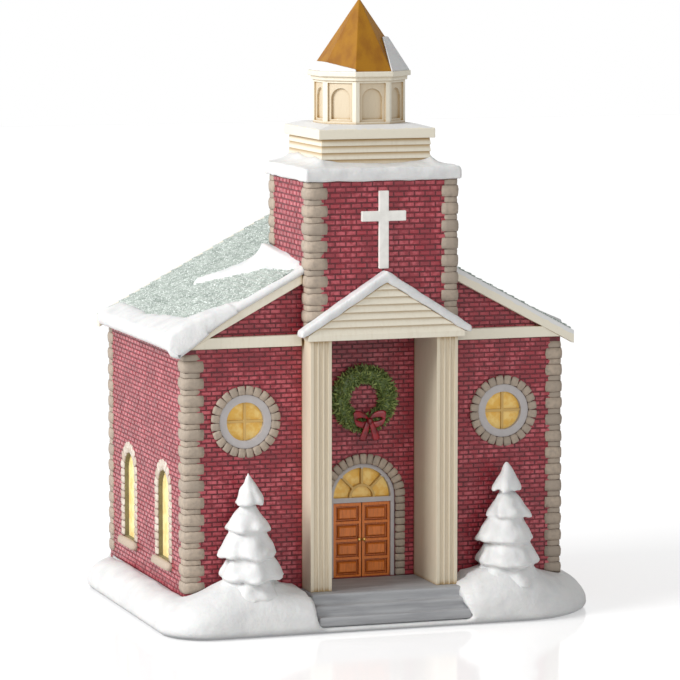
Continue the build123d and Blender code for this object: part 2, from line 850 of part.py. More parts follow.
def light_housing():
    """Battery box with a flange let into the base, a bay for the cells and a bay for the switch."""
    y0, y1 = light_y - housing_width / 2, light_y + housing_width / 2
    half = housing_length / 2
    box = block(-half, half, y0, y1, housing_lift, housing_top_z)
    box += block(-half - flange_width, half + flange_width, y0 - flange_width, y1 + flange_width,
                 housing_lift, seat_z)
    bay = block(-bay_length / 2, bay_length / 2, bay_y - bay_width / 2, bay_y + bay_width / 2,
                0, bay_top_z)
    mouth_half = door_width / 2 + door_gap
    mouth = block(hinge_x - door_plate / 2 - door_gap, door_end_x + door_gap, bay_y - mouth_half,
                  bay_y + mouth_half, 0, housing_lift + door_plate + fit)
    notch = block(door_end_x, door_end_x + latch_length + door_gap,
                  bay_y - latch_width / 2 - door_gap, bay_y + latch_width / 2 + door_gap,
                  0, housing_lift + door_plate + fit)
    pin_span = 2 * (mouth_half + hinge_pin_length)
    socket = Pos(hinge_x, bay_y, hinge_z) * Rot(90, 0, 0) * Cylinder(
        hinge_pin + hinge_pin_gap, pin_span)
    switch_room = block(-bay_length / 2, bay_length / 2, switch_y - switch_bay / 2,
                        switch_y + switch_bay / 2, seat_z, housing_top_z + overrun)
    slot_half = (switch_knob_length + switch_travel) / 2 + switch_gap
    slot = block(-slot_half, slot_half, switch_y - switch_knob_width / 2 - switch_gap,
                 switch_y + switch_knob_width / 2 + switch_gap, 0, seat_z)
    return box - bay - mouth - notch - socket - switch_room - slot


def battery_door():
    """Flat cover with a round hinge edge, two pins, a latch tongue and grip ribs."""
    half = door_width / 2
    radius = door_plate / 2
    plate = block(hinge_x, door_end_x, bay_y - half, bay_y + half, housing_lift,
                  housing_lift + door_plate)
    plate += Pos(hinge_x, bay_y, hinge_z) * Rot(90, 0, 0) * Cylinder(radius, door_width)
    pins = door_width + 2 * hinge_pin_length
    plate += Pos(hinge_x, bay_y, hinge_z) * Rot(90, 0, 0) * Cylinder(hinge_pin, pins)
    top = housing_lift + door_plate
    plate += block(door_end_x, door_end_x + latch_length, bay_y - latch_width / 2,
                   bay_y + latch_width / 2, top - latch_thickness, top)
    for i in range(grip_count):
        x = door_end_x - (i + 1) * grip_pitch
        plate += block(x - grip_height, x + grip_height, bay_y - grip_length / 2,
                       bay_y + grip_length / 2, housing_lift - grip_height, housing_lift)
    return plate


def cell_ys():
    pitch = cell_diameter + cell_gap
    first = bay_y - (cell_count - 1) * pitch / 2
    return [first + i * pitch for i in range(cell_count)]


def battery_cells():
    """Cells side by side, the button end of each against its plate."""
    z = seat_z + cell_gap + cell_diameter / 2
    end = bay_length / 2 - contact_thickness
    cells = Part()
    for y in cell_ys():
        can = Pos(end - cell_nub - cell_length / 2, y, z) * Rot(0, 90, 0) * Cylinder(
            cell_diameter / 2, cell_length)
        nub = Pos(end - cell_nub / 2, y, z) * Rot(0, 90, 0) * Cylinder(cell_nub_radius, cell_nub)
        cells += can + nub
    return cells


def positive_contacts():
    z = seat_z + cell_gap + cell_diameter / 2
    half = contact_width / 2
    plates = Part()
    for y in cell_ys():
        plates += block(bay_length / 2 - contact_thickness, bay_length / 2, y - half, y + half,
                        z - half, z + half)
    return plates


def negative_contacts():
    """Bowed leaf springs between the bay's end wall and the flat end of each cell."""
    z = seat_z + cell_gap + cell_diameter / 2
    half = contact_width / 2
    wall_x = -bay_length / 2
    cell_x = wall_x + contact_space
    outer = ThreePointArc((wall_x, z - half), (cell_x, z), (wall_x, z + half))
    inner = ThreePointArc((wall_x, z + half - contact_thickness), (cell_x - contact_thickness, z),
                          (wall_x, z - half + contact_thickness))
    ends = [Line(outer @ 1, inner @ 0), Line(inner @ 1, outer @ 0)]
    leaf = make_face(outer + inner + ends[0] + ends[1])
    leaves = Part()
    for y in cell_ys():
        leaves += front_prism(leaf, y - half, y + half)
    return leaves


def switch_body():
    half = switch_length / 2
    body = block(-half, half, switch_y - switch_width / 2, switch_y + switch_width / 2, seat_z,
                 seat_z + switch_height)
    slot_half = (switch_knob_length + switch_travel) / 2 + switch_gap
    side = switch_knob_width / 2 + switch_gap
    return body - block(-slot_half, slot_half, switch_y - side, switch_y + side, 0,
                        seat_z + switch_knob_in + switch_gap)


def switch_knob():
    half = switch_knob_length / 2
    return block(switch_rest_x - half, switch_rest_x + half, switch_y - switch_knob_width / 2,
                 switch_y + switch_knob_width / 2, housing_lift - switch_knob_out,
                 seat_z + switch_knob_in)


def circuit_board():
    return block(-board_length / 2, board_length / 2, bay_y - board_width / 2,
                 bay_y + board_width / 2, housing_top_z, housing_top_z + board_thickness)


def led_lamp():
    """Domed lens on a rim, turned in one profile."""
    straight = led_height - led_radius
    path = Polyline((0, 0), (led_rim_radius, 0), (led_rim_radius, led_rim), (led_radius, led_rim),
                    (led_radius, straight))
    lens = led_radius * cos(pi / 4)
    dome = ThreePointArc((led_radius, straight), (lens, straight + lens), (0, led_height))
    profile = make_face(path + dome + Line((0, led_height), (0, 0)))
    return Pos(0, bay_y, housing_top_z + board_thickness) * revolve(Plane.XZ * profile, Axis.Z)


def all_nodes():
    """Every piece under its name."""
    base = snow_base()
    front_stones, back_stones = tower_quoins(-1), tower_quoins(1)
    nodes = {
        "snow_base": base, "entrance_steps": steps(), "nave_walls": nave_walls(),
        "nave_roof": nave_roof(), "roof_snow": roof_snow(front_stones + back_stones),
        "gable_cornice_left": gable_cornice(-1, front_stones),
        "gable_cornice_right": gable_cornice(1, front_stones),
        "back_gable_trim": back_gable_trim(),
        "nave_quoins_front": nave_quoins(-1), "nave_quoins_back": nave_quoins(1),
        "tower_quoins_front": front_stones, "tower_quoins_back": back_stones,
        "tower_walls": tower_walls(), "tower_cross": tower_cross(), "tower_ledge": tower_ledge(),
        "belfry_plinth": belfry_plinth(), "plinth_cap": plinth_cap(), "lantern": lantern(),
        "lantern_cornice": lantern_cornice(), "spire": spire(), "spire_snow": spire_snow(),
        "pediment": pediment(), "pediment_snow": pediment_snow(),
        "door_knobs": door_knobs(), "door_frame": door_frame(), "fanlight_pane": fanlight_pane(),
        "door_surround": door_surround(), "wreath": wreath(), "wreath_bow": wreath_bow(),
        "tree_left": tree(tree_left_x, base), "tree_right": tree(tree_right_x, base),
        "light_housing": light_housing(), "battery_door": battery_door(),
        "battery_cells": battery_cells(), "positive_contacts": positive_contacts(),
        "negative_contacts": negative_contacts(), "switch_body": switch_body(),
        "switch_knob": switch_knob(), "circuit_board": circuit_board(), "led_lamp": led_lamp(),
    }
    for side, name in ((-1, "left"), (1, "right")):
        nodes["pier_" + name] = pier(side)
        nodes["door_" + name] = door(side)
        nodes["round_window_surround_" + name] = round_surround(side)
        nodes["round_window_frame_" + name] = round_frame_ring(side)
        nodes["round_window_pane_" + name] = round_pane(side)
        for y, place in zip(side_window_ys(), ("front", "back")):
            nodes["side_window_surround_" + name + "_" + place] = side_surround(side, y)
            nodes["side_window_pane_" + name + "_" + place] = side_pane(side, y)
    return nodes


os.makedirs("parts", exist_ok=True)
for node, solid in all_nodes().items():
    export_step(solid, "parts/" + node + ".step")
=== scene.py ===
"""Dress of a lit ceramic village church: brick, stone, cream trim, shingles and snow over its solids."""
from math import cos, exp, hypot, pi, radians, sin, tan

import bmesh
import bpy
from bpy.props import FloatProperty, FloatVectorProperty, IntProperty, PointerProperty
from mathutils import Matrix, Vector, noise


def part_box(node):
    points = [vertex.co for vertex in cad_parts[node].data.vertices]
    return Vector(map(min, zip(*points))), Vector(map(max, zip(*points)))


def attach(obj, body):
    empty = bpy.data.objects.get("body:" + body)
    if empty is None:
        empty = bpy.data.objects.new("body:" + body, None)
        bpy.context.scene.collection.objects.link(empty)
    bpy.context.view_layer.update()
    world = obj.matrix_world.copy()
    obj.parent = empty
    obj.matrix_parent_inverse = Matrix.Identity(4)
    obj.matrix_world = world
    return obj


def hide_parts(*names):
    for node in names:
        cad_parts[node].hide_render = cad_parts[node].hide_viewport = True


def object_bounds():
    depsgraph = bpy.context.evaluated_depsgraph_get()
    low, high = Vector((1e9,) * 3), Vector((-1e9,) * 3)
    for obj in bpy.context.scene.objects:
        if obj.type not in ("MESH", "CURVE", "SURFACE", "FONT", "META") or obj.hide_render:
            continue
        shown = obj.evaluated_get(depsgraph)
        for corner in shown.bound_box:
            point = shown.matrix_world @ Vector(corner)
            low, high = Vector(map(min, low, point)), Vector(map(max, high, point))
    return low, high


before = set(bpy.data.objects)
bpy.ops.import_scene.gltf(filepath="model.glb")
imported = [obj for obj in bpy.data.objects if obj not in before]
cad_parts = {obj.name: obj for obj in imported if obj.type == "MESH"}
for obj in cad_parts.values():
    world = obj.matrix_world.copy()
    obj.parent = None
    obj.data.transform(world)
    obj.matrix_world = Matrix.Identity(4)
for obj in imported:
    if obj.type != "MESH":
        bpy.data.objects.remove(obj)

bl_info = {
    "name": "Ceramic village church",
    "version": (1, 0, 0),
    "blender": (4, 5, 0),
    "location": "View3D > Sidebar > Church",
    "description": "Bricks, stones, shingles, snow and paint for a lit ceramic village church",
    "category": "Object",
}

MM = 0.001
HOUSE = "house"
CAD_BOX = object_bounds()
BOX = {name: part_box(name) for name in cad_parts}
FRONT, LEFT, RIGHT, BACK = 0.0, -pi / 2, pi / 2, pi
# Reach of the corner stones, as a share, everywhere but on the front left corner
NARROW = 0.84


def paint(red, green, blue):
    """An eight-bit screen colour as linear light."""
    shares = [channel / 255 for channel in (red, green, blue)]
    return tuple(s / 12.92 if s <= 0.04045 else ((s + 0.055) / 1.055) ** 2.4 for s in shares)


# Short forms of the properties

def length(name, text, millimetres):
    return FloatProperty(name=name, description=text, default=millimetres * MM, unit="LENGTH", precision=5)


def share(name, text, value):
    return FloatProperty(name=name, description=text, default=value, subtype="FACTOR", min=0, max=1)


def shade(name, text, red, green, blue):
    return FloatVectorProperty(name=name, description=text, default=paint(red, green, blue),
                               subtype="COLOR", size=3, min=0, max=1)


def count(name, text, value):
    return IntProperty(name=name, description=text, default=value, min=0)


# Sizes and colours that a user would change

class BrickSettings(bpy.types.PropertyGroup):
    """Brick courses"""
    course: length("Course", "Height of one course with its joint", 1.65)
    tower_course: length("Tower course", "Height of one course on the tower", 1.9)
    pitch: length("Brick pitch", "Length of one brick with its joint", 3.9)
    joint: length("Joint", "Width of the mortar joints", 0.5)
    relief: length("Relief", "How far a brick stands out of the mortar", 0.22)
    edge: length("Worn edge", "Depth of the sloping edge round a brick's face", 0.12)
    wobble: length("Wobble", "How unevenly the bricks are laid", 0.05)
    seed: count("Seed", "Start of the random draws", 3)
    face: shade("Brick", "Paint of the brick faces", 154, 34, 48)
    dark: shade("Dark brick", "Paint of the darkest bricks", 132, 28, 42)
    worn: shade("Dry brush", "Dry-brushed colour on the brick faces", 200, 92, 102)
    mortar: shade("Mortar", "Paint in the joints", 112, 22, 36)
    soot: shade("Dark mortar", "Darkest joints", 84, 12, 24)


class StoneSettings(bpy.types.PropertyGroup):
    """Corner stones and arch stones"""
    tall: length("Tall stone", "Height of the long corner stones", 3.7)
    low: length("Low stone", "Height of the short corner stones", 2.2)
    long: length("Long reach", "Reach of the long stones along the wall", 8.0)
    short: length("Short reach", "Reach of the short stones along the wall", 6.2)
    proud: length("Proud", "How far the long stones stand out", 0.85)
    sunk: length("Short proud", "How far the short stones stand out", 0.45)
    lump: length("Lump", "Unevenness of the stone faces", 0.28)
    joint: length("Joint", "Gap between arch stones", 0.12)
    seed: count("Seed", "Start of the random draws", 11)
    warm: shade("Warm stone", "Lighter, warmer stone paint", 180, 163, 145)
    cool: shade("Cool stone", "Greyer stone paint", 156, 143, 129)
    pale: shade("Pale stone", "Stones of the side windows", 222, 214, 202)
    # Dark colour between the stones: partly a wash, partly painted shade in the joints
    wash: shade("Wash", "Dark wash between the stones", 100, 86, 74)


class RoofSettings(bpy.types.PropertyGroup):
    """Shingles"""
    pitch: FloatProperty(name="Pitch", description="Slope of the roof", default=radians(28.0),
                         subtype="ANGLE")
    course: length("Course", "Exposed length of one shingle", 2.3)
    width: length("Width", "Width of one shingle with its gap", 3.1)
    gap: length("Gap", "Gap between neighbours", 0.2)
    thick: length("Thickness", "Thickness of the butt end", 0.5)
    tilt: FloatProperty(name="Lap tilt", description="Tilt that lifts the butt end", default=radians(9),
                        subtype="ANGLE")
    seed: count("Seed", "Start of the random draws", 5)
    base: shade("Shingle", "Grey-green shingle paint", 172, 182, 174)
    dark: shade("Dark shingle", "Shaded shingle paint", 130, 142, 134)
    glitter: shade("Glitter", "Frost and glitter over the paint", 236, 242, 238)


class SnowSettings(bpy.types.PropertyGroup):
    """Snow on the base, roof, ledges and trees"""
    depth: length("Depth", "Thickness of the snow on the roof", 2.3)
    lump: length("Lump", "Height of the soft lumps on the base", 0.55)
    mound: length("Mound", "Height of the heaps round the firs", 8.0)
    grain: length("Skin grain", "Mesh spacing of the base's skin", 1.15)
    white: shade("Snow", "Snow glaze", 217, 217, 216)
    # Grey of the snow's soft patches, and of the painted shade in its hollows
    hollow: shade("Hollow", "Tint in the snow's hollows", 190, 191, 193)


class TrimSettings(bpy.types.PropertyGroup):
    """Painted trim, doors, windows and steps"""
    ease: length("Eased edge", "Rounding of the moulded edges", 0.28)
    cream: shade("Cream", "Cream trim paint", 226, 219, 201)
    # Tan of the antique wash, also used as painted shade in the cream trim's recesses and under its laps
    wash: shade("Antique wash", "Tan wash left in the recesses", 172, 140, 88)
    gold: shade("Gold", "Gold-brown glaze of the spire", 156, 106, 12)
    gold_dark: shade("Dark gold", "Streaks in the spire's glaze", 136, 86, 8)
    door: shade("Door", "Orange-brown door paint", 222, 124, 48)
    # Dark brown of the grain and of the grooves, where it is partly a wash and partly painted shade
    door_dark: shade("Door wash", "Dark wash in the door grooves", 104, 42, 14)
    grey: shade("Window grey", "Lilac-grey window frames", 190, 185, 184)
    bar: shade("Glazing bar", "Tan bars across the panes", 200, 164, 96)
    # Amber of the panes, also the colour of their painted glow
    amber: shade("Amber", "Lit window panes", 216, 170, 74)
    amber_pale: shade("Pale amber", "Paler patches of the panes", 228, 198, 124)
    # Pale colour of the side panes, also the colour of their painted glow
    pale_pane: shade("Pale pane", "Side window panes", 240, 222, 160)
    reveal: shade("Reveal", "Sides of the side windows' openings", 128, 120, 88)
    step: shade("Step", "Blue-grey steps", 158, 159, 161)
    step_dark: shade("Step wash", "Darker patches of the steps", 134, 135, 138)
    white: shade("White", "White paint of the cross", 238, 236, 230)


class WreathSettings(bpy.types.PropertyGroup):
    """Wreath and bow"""
    leaf: length("Leaf", "Length of a leaf", 1.5)
    leaves: count("Leaves", "Leaves per square centimetre", 100)
    seed: count("Seed", "Start of the random draws", 7)
    green: shade("Green", "Leaf paint", 150, 164, 92)
    # Darker leaves, and the colour of the painted shade between the leaves
    dark: shade("Dark green", "Paint between the leaves", 86, 104, 52)
    red: shade("Red", "Ribbon paint", 150, 14, 32)
    red_dark: shade("Dark red", "Folds of the ribbon", 102, 9, 22)


class FirSettings(bpy.types.PropertyGroup):
    """Snow-laden firs"""
    lobes: count("Lobes", "Boughs round one tier", 7)
    droop: length("Droop", "How far the bough tips hang", 1.2)
    scallop: share("Scallop", "Depth of the notches between boughs", 0.08)
    grain: length("Skin grain", "Mesh spacing of the skin", 0.55)


class StageSettings(bpy.types.PropertyGroup):
    """Camera, floor and light"""
    lens: FloatProperty(name="Lens", description="Focal length", default=200.66, unit="CAMERA")
    place: FloatVectorProperty(name="Camera", description="Camera position", subtype="TRANSLATION",
                               default=(-0.430108, -1.300584, 0.249214))
    tilt: FloatProperty(name="Tilt", description="Camera tilt", default=radians(83.564), subtype="ANGLE")
    turn: FloatProperty(name="Turn", description="Camera heading", default=radians(-18.357), subtype="ANGLE")
    floor: length("Floor", "Half size of the floor", 3000)
    key: FloatProperty(name="Key", description="Strength of the light on the left", default=12.5,
                       unit="POWER")
    fill: FloatProperty(name="Fill", description="Strength of the front light", default=8.5, unit="POWER")
    sky: share("Sky", "Strength of the even light all round", 0.4)


SETTINGS = {"church_brick": BrickSettings, "church_stone": StoneSettings, "church_roof": RoofSettings,
            "church_snow": SnowSettings, "church_trim": TrimSettings, "church_wreath": WreathSettings,
            "church_fir": FirSettings, "church_stage": StageSettings}


# Node trees

def put(tree, kind, inputs=(), **options):
    """Add a node, set its options and fill its inputs with links or constants."""
    node = tree.nodes.new(kind)
    for key, value in options.items():
        setattr(node, key, value)
    for key, value in dict(inputs).items():
        if isinstance(value, bpy.types.NodeSocket):
            tree.links.new(value, node.inputs[key])
        else:
            node.inputs[key].default_value = value
    return node


def vectors(tree, operation, inputs):
    """The outputs of one step of vector arithmetic."""
    return put(tree, "ShaderNodeVectorMath", inputs, operation=operation).outputs


def opaque(colour):
    return (*colour, 1.0)


def dimmed(colour, by):
    return [by * part for part in colour]


class Finish:
    """One painted finish: a material with short calls for its patterns."""

    def __init__(self, name):
        self.material = bpy.data.materials.new(name)
        self.material.use_nodes = True
        self.tree = self.material.node_tree
        self.tree.nodes.clear()
        self.place = self.add("ShaderNodeTexCoord").outputs["Object"]

    def add(self, kind, inputs=(), **options):
        return put(self.tree, kind, inputs, **options)

    def attribute(self, name):
        return self.add("ShaderNodeAttribute", attribute_name=name).outputs["Fac"]

    def stretched(self, scale):
        return self.add("ShaderNodeMapping", {"Vector": self.place, "Scale": scale}).outputs[0]

    def clouds(self, spread, detail=3.0, place=None):
        """Soft noise whose patches are about as wide as spread, in metres."""
        node = self.add("ShaderNodeTexNoise", {"Vector": place or self.place, "Scale": 1 / spread,
                                               "Detail": detail})
        return node.outputs[0]

    def specks(self, spread):
        node = self.add("ShaderNodeTexVoronoi", {"Vector": self.place, "Scale": 1 / spread})
        return node.outputs["Distance"]

    def band(self, value, low, high):
        """Smooth step of a value from 0 at low to 1 at high."""
        node = self.add("ShaderNodeMapRange", {"Value": value, "From Min": low, "From Max": high},
                        interpolation_type="SMOOTHSTEP")
        return node.outputs[0]

    def calc(self, operation, *values):
        """One step of arithmetic on one to three values."""
        return self.add("ShaderNodeMath", dict(enumerate(values)), operation=operation).outputs[0]

    def times(self, first, second):
        return self.calc("MULTIPLY", first, second)

    def axis(self, letter, vector=None):
        return self.add("ShaderNodeSeparateXYZ", {"Vector": vector or self.place}).outputs[letter]

    def blend(self, factor, first, second):
        pair = [colour if isinstance(colour, bpy.types.NodeSocket) else opaque(colour)
                for colour in (first, second)]
        node = self.add("ShaderNodeMix", {0: factor, 6: pair[0], 7: pair[1]}, data_type="RGBA")
        return node.outputs[2]

    def hollows(self, reach, low=0.35, high=0.9):
        """Ambient occlusion, 1 in the open and 0 deep in a recess: the finishes that darken by it paint shade
        into their recesses.
        """
        node = self.add("ShaderNodeAmbientOcclusion", {"Distance": reach}, samples=8)
        return self.band(node.outputs["AO"], low, high)

    def bump(self, height, depth, under=None):
        inputs = {"Height": height, "Strength": 1.0, "Distance": depth}
        if under:
            inputs["Normal"] = under
        return self.add("ShaderNodeBump", inputs).outputs[0]

    def done(self, colour, roughness, normal=None, **sockets):
        inputs = {"Base Color": colour if isinstance(colour, bpy.types.NodeSocket) else opaque(colour),
                  "Roughness": roughness}
        if normal:
            inputs["Normal"] = normal
        inputs.update({key.replace("_", " "): value for key, value in sockets.items()})
        shader = self.add("ShaderNodeBsdfPrincipled", inputs)
        self.add("ShaderNodeOutputMaterial", {"Surface": shader.outputs[0]})
        return self.material


def brick_finish(look):
    """Crimson glaze with pale dry-brushed patches and darker rims."""
    paintwork = Finish("brick_paint")
    tint = paintwork.attribute("tint")
    rim = paintwork.attribute("rim")
    patch = paintwork.band(paintwork.clouds(9 * MM), 0.4, 0.6)
    colour = paintwork.blend(tint, look.dark, look.face)
    brushed = paintwork.times(patch, paintwork.band(paintwork.clouds(1.8 * MM), 0.36, 0.62))
    colour = paintwork.blend(paintwork.times(brushed, 0.75), colour, look.worn)
    colour = paintwork.blend(paintwork.times(rim, 0.3), colour, look.mortar)
    grain = paintwork.clouds(0.5 * MM, 4.0)
    return paintwork.done(colour, 0.36, paintwork.bump(grain, 0.05 * MM), Coat_Weight=0.35,
                          Coat_Roughness=0.3)


def mortar_finish(look):
    """Dark crimson wash between the bricks."""
    wash = Finish("mortar_wash")
    patch = wash.band(wash.clouds(2.4 * MM, 4.0), 0.38, 0.62)
    colour = wash.blend(patch, look.soot, look.mortar)
    return wash.done(colour, 0.45, wash.bump(wash.clouds(0.4 * MM), 0.08 * MM))


def stone_finish(name, cool, warm, wash):
    """Stone paint in two tones, darker in the joints: partly a wash, partly painted shade."""
    stone = Finish(name)
    colour = stone.blend(stone.attribute("tint"), cool, warm)
    colour = stone.blend(stone.band(stone.clouds(1.6 * MM, 5.0), 0.35, 0.75), colour, cool)
    # Darkening between the stones by ambient occlusion: partly the wash, partly painted shade.
    colour = stone.blend(stone.hollows(1.0 * MM, 0.3, 0.8), wash, colour)
    return stone.done(colour, 0.66, stone.bump(stone.clouds(0.7 * MM, 5.0), 0.18 * MM))


def cream_finish(look, name, laps=None):
    """Cream paint darkened with tan in its recesses and, on lapped boards, under each lap: partly an antique
    wash, partly painted shade.
    """
    cream = Finish(name)
    grain = cream.clouds(1.0 * MM, 4.0, cream.stretched((1, 1, 0.18)))
    colour = cream.blend(cream.times(cream.band(grain, 0.45, 0.75), 0.1), look.cream, look.wash)
    # The recess mark darkens the lantern's niches, partly an antique wash and partly painted shade; on the
    # piers it is an even tan over the whole pier.
    colour = cream.blend(cream.times(cream.attribute("recess"), 0.45), colour, look.wash)
    if laps:
        foot, pitch = laps
        # Tan on the upper part of each board, where the lap above overhangs it: partly the wash, partly
        # painted shadow.
        boards = cream.calc("DIVIDE", cream.calc("SUBTRACT", cream.axis("Z"), foot), pitch)
        course = cream.calc("FRACT", boards)
        colour = cream.blend(cream.times(cream.band(course, 0.3, 1.0), 0.9), colour, look.wash)
    # Tan in the recesses by ambient occlusion: partly the antique wash, partly painted shade.
    colour = cream.blend(cream.hollows(2.0 * MM, 0.35, 0.9), look.wash, colour)
    return cream.done(colour, 0.48, cream.bump(cream.clouds(0.6 * MM), 0.05 * MM), Coat_Weight=0.08)


def snow_finish(look):
    """Soft white glaze with fine lumps, grey patches, glints and painted shade in its hollows."""
    snow = Finish("snow_glaze")
    soft = snow.band(snow.clouds(7 * MM, 4.0), 0.35, 0.7)
    colour = snow.blend(snow.times(soft, 0.35), look.white, look.hollow)
    # Grey in the hollows by ambient occlusion: painted shade.
    colour = snow.blend(snow.hollows(3 * MM, 0.2, 0.75), look.hollow, colour)
    glint = snow.band(snow.specks(0.9 * MM), 0.0, 0.16)
    rough = snow.add("ShaderNodeMapRange", {"Value": glint, "To Min": 0.18, "To Max": 0.58}).outputs[0]
    relief = snow.bump(snow.clouds(0.9 * MM, 5.0), 0.1 * MM)
    relief = snow.bump(snow.clouds(4 * MM, 3.0), 0.35 * MM, relief)
    return snow.done(colour, rough, relief, Subsurface_Weight=0.06, Subsurface_Scale=0.6 * MM)


def shingle_finish(look):
    """Grey-green paint under frost."""
    frost = Finish("shingle_glitter")
    colour = frost.blend(frost.attribute("tint"), look.dark, look.base)
    patch = frost.band(frost.clouds(5 * MM, 5.0), 0.4, 0.62)
    colour = frost.blend(frost.times(patch, 0.5), colour, look.base)
    glint = frost.band(frost.clouds(0.75 * MM, 2.0), 0.53, 0.62)
    colour = frost.blend(frost.times(glint, 0.85), colour, look.glitter)
    return frost.done(colour, 0.5, frost.bump(frost.clouds(0.5 * MM, 3.0), 0.12 * MM))


def gold_finish(look):
    """Gold-brown glaze, streaked downwards."""
    gold = Finish("gold_glaze")
    streak = gold.band(gold.clouds(5 * MM, 3.0, gold.stretched((1, 1, 0.25))), 0.35, 0.7)
    colour = gold.blend(streak, look.gold, look.gold_dark)
    return gold.done(colour, 0.55, gold.bump(gold.clouds(0.8 * MM), 0.05 * MM), Specular_IOR_Level=0.3)


def door_finish(look):
    """Orange-brown wood grain, darker in the grooves: partly a wash, partly painted shade."""
    wood = Finish("door_paint")
    grain = wood.band(wood.clouds(0.5 * MM, 4.0, wood.stretched((1, 1, 0.08))), 0.35, 0.7)
    colour = wood.blend(wood.times(grain, 0.3), look.door, look.door_dark)
    # Darkening in the grooves by ambient occlusion: partly the wash, partly painted shade.
    colour = wood.blend(wood.hollows(1.2 * MM, 0.3, 0.8), look.door_dark, colour)
    return wood.done(colour, 0.4, wood.bump(grain, 0.05 * MM), Coat_Weight=0.1)


def glow_finish(name, colour, pale):
    """Amber pane with a faint painted glow: its emission stands in for the lamp's light from inside."""
    pane = Finish(name)
    patch = pane.band(pane.clouds(2.6 * MM, 3.0), 0.38, 0.66)
    return pane.done(pane.blend(patch, colour, pale), 0.32, pane.bump(pane.clouds(1.4 * MM), 0.08 * MM),
                     Emission_Color=opaque(colour), Emission_Strength=0.12)


def plain_finish(name, colour, second, spread, roughness, **sockets):
    """Paint or plastic with soft patches of a second colour and a faint grain."""
    plain = Finish(name)
    tone = plain.blend(plain.band(plain.clouds(spread, 4.0), 0.35, 0.7), colour, second)
    return plain.done(tone, roughness, plain.bump(plain.clouds(0.6 * MM, 3.0), 0.05 * MM), **sockets)


def step_finish(look):
    """Grey slate brushed along the steps."""
    slate = Finish("step_paint")
    streak = slate.band(slate.clouds(1.5 * MM, 4.0, slate.stretched((0.1, 0.6, 1))), 0.38, 0.66)
    colour = slate.blend(slate.times(streak, 0.65), look.step, look.step_dark)
    brushed = slate.clouds(0.8 * MM, 4.0, slate.stretched((0.15, 1, 1)))
    return slate.done(colour, 0.6, slate.bump(brushed, 0.08 * MM))


def frame_finish(look, name, centre, reach, low):
    """Lilac grey, with tan on the bars that cross the glass: within reach of a centre, above a low line."""
    grey = Finish(name)
    colour = grey.blend(grey.clouds(2.5 * MM), dimmed(look.grey, 0.8), look.grey)
    # Darker grey in the recesses by ambient occlusion: painted shade.
    colour = grey.blend(grey.hollows(1.2 * MM, 0.3, 0.8), dimmed(look.grey, 0.6), colour)
    away = vectors(grey.tree, "SUBTRACT", {0: grey.place, 1: centre})[0]
    flat = vectors(grey.tree, "MULTIPLY", {0: away, 1: (1, 0, 1)})[0]
    span = vectors(grey.tree, "LENGTH", {0: flat})["Value"]
    bars = grey.blend(grey.band(grey.axis("Z", away), low - 0.1 * MM, low), colour, look.bar)
    colour = grey.blend(grey.band(span, reach - 0.2 * MM, reach), bars, colour)
    return grey.done(colour, 0.55, grey.bump(grey.clouds(0.6 * MM), 0.05 * MM))


def wreath_finish(look):
    """Leaf green, with darker leaves at random and painted shade between the leaves."""
    leaf = Finish("leaf_paint")
    colour = leaf.blend(leaf.attribute("tint"), look.dark, look.green)
    # Painted shade between the leaves, by ambient occlusion.
    colour = leaf.blend(leaf.hollows(1.2 * MM, 0.3, 0.85), look.dark, colour)
    return leaf.done(colour, 0.5, leaf.bump(leaf.clouds(0.4 * MM), 0.06 * MM))


def capped_finish(look, snow, name, height, fall=0.0):
    """Cream below a line and snow above it; the line has its height at the middle and may fall with X."""
    mixed = Finish(name)
    raised = mixed.calc("MULTIPLY_ADD", mixed.axis("X"), fall, mixed.axis("Z"))
    edge = mixed.times(mixed.clouds(3 * MM), 1.6 * MM)
    level = mixed.calc("SUBTRACT", raised, edge)
    top = mixed.band(level, height - 0.9 * MM, height - 0.5 * MM)
    # Tan in the trim's recesses by ambient occlusion: partly the antique wash, partly painted shade.
    cream = mixed.blend(mixed.hollows(1.8 * MM, 0.3, 0.85), look.wash, look.cream)
    colour = mixed.blend(top, cream, snow.white)
    return mixed.done(colour, 0.5, mixed.bump(mixed.clouds(0.9 * MM, 4.0), 0.08 * MM))


# Meshes

def link(thing):
    bpy.context.scene.collection.objects.link(thing)
    return thing


def ride(name, mesh, material, stands_for=(), smooth=True):
    """Make a finished mesh a piece of the house."""
    mesh.materials.clear()
    mesh.materials.append(material)
    mesh.polygons.foreach_set("use_smooth", [smooth] * len(mesh.polygons))
    piece = link(bpy.data.objects.new(name, mesh))
    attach(piece, HOUSE)
    if stands_for:
        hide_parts(*stands_for)
    return piece


def coat(node, material):
    """Give a CAD node a finish."""
    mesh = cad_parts[node].data
    mesh.materials.clear()
    mesh.materials.append(material)


def evaluated(carrier):
    """The plain mesh that an object's modifiers give; the object itself is removed."""
    graph = bpy.context.evaluated_depsgraph_get()
    mesh = bpy.data.meshes.new_from_object(carrier.evaluated_get(graph))
    bpy.data.objects.remove(carrier)
    return mesh


def grown(name, tree, points, values):
    """Run a geometry tree on a mesh of points."""
    carrier = bpy.data.objects.new(name, points)
    modifier = carrier.modifiers.new(name, "NODES")
    modifier.node_group = tree
    for item in tree.interface.items_tree:
        if item.in_out == "INPUT" and item.name in values:
            modifier[item.identifier] = values[item.name]
    return evaluated(link(carrier))


def point_mesh(name, rows):
    """Loose points, each with a turn and a size, from rows of three vectors."""
    mesh = bpy.data.meshes.new(name)
    mesh.from_pydata([row[0] for row in rows], [], [])
    for label, column in (("turn", 1), ("size", 2)):
        layer = mesh.attributes.new(label, "FLOAT_VECTOR", "POINT")
        layer.data.foreach_set("vector", [value for row in rows for value in row[column]])
    return mesh


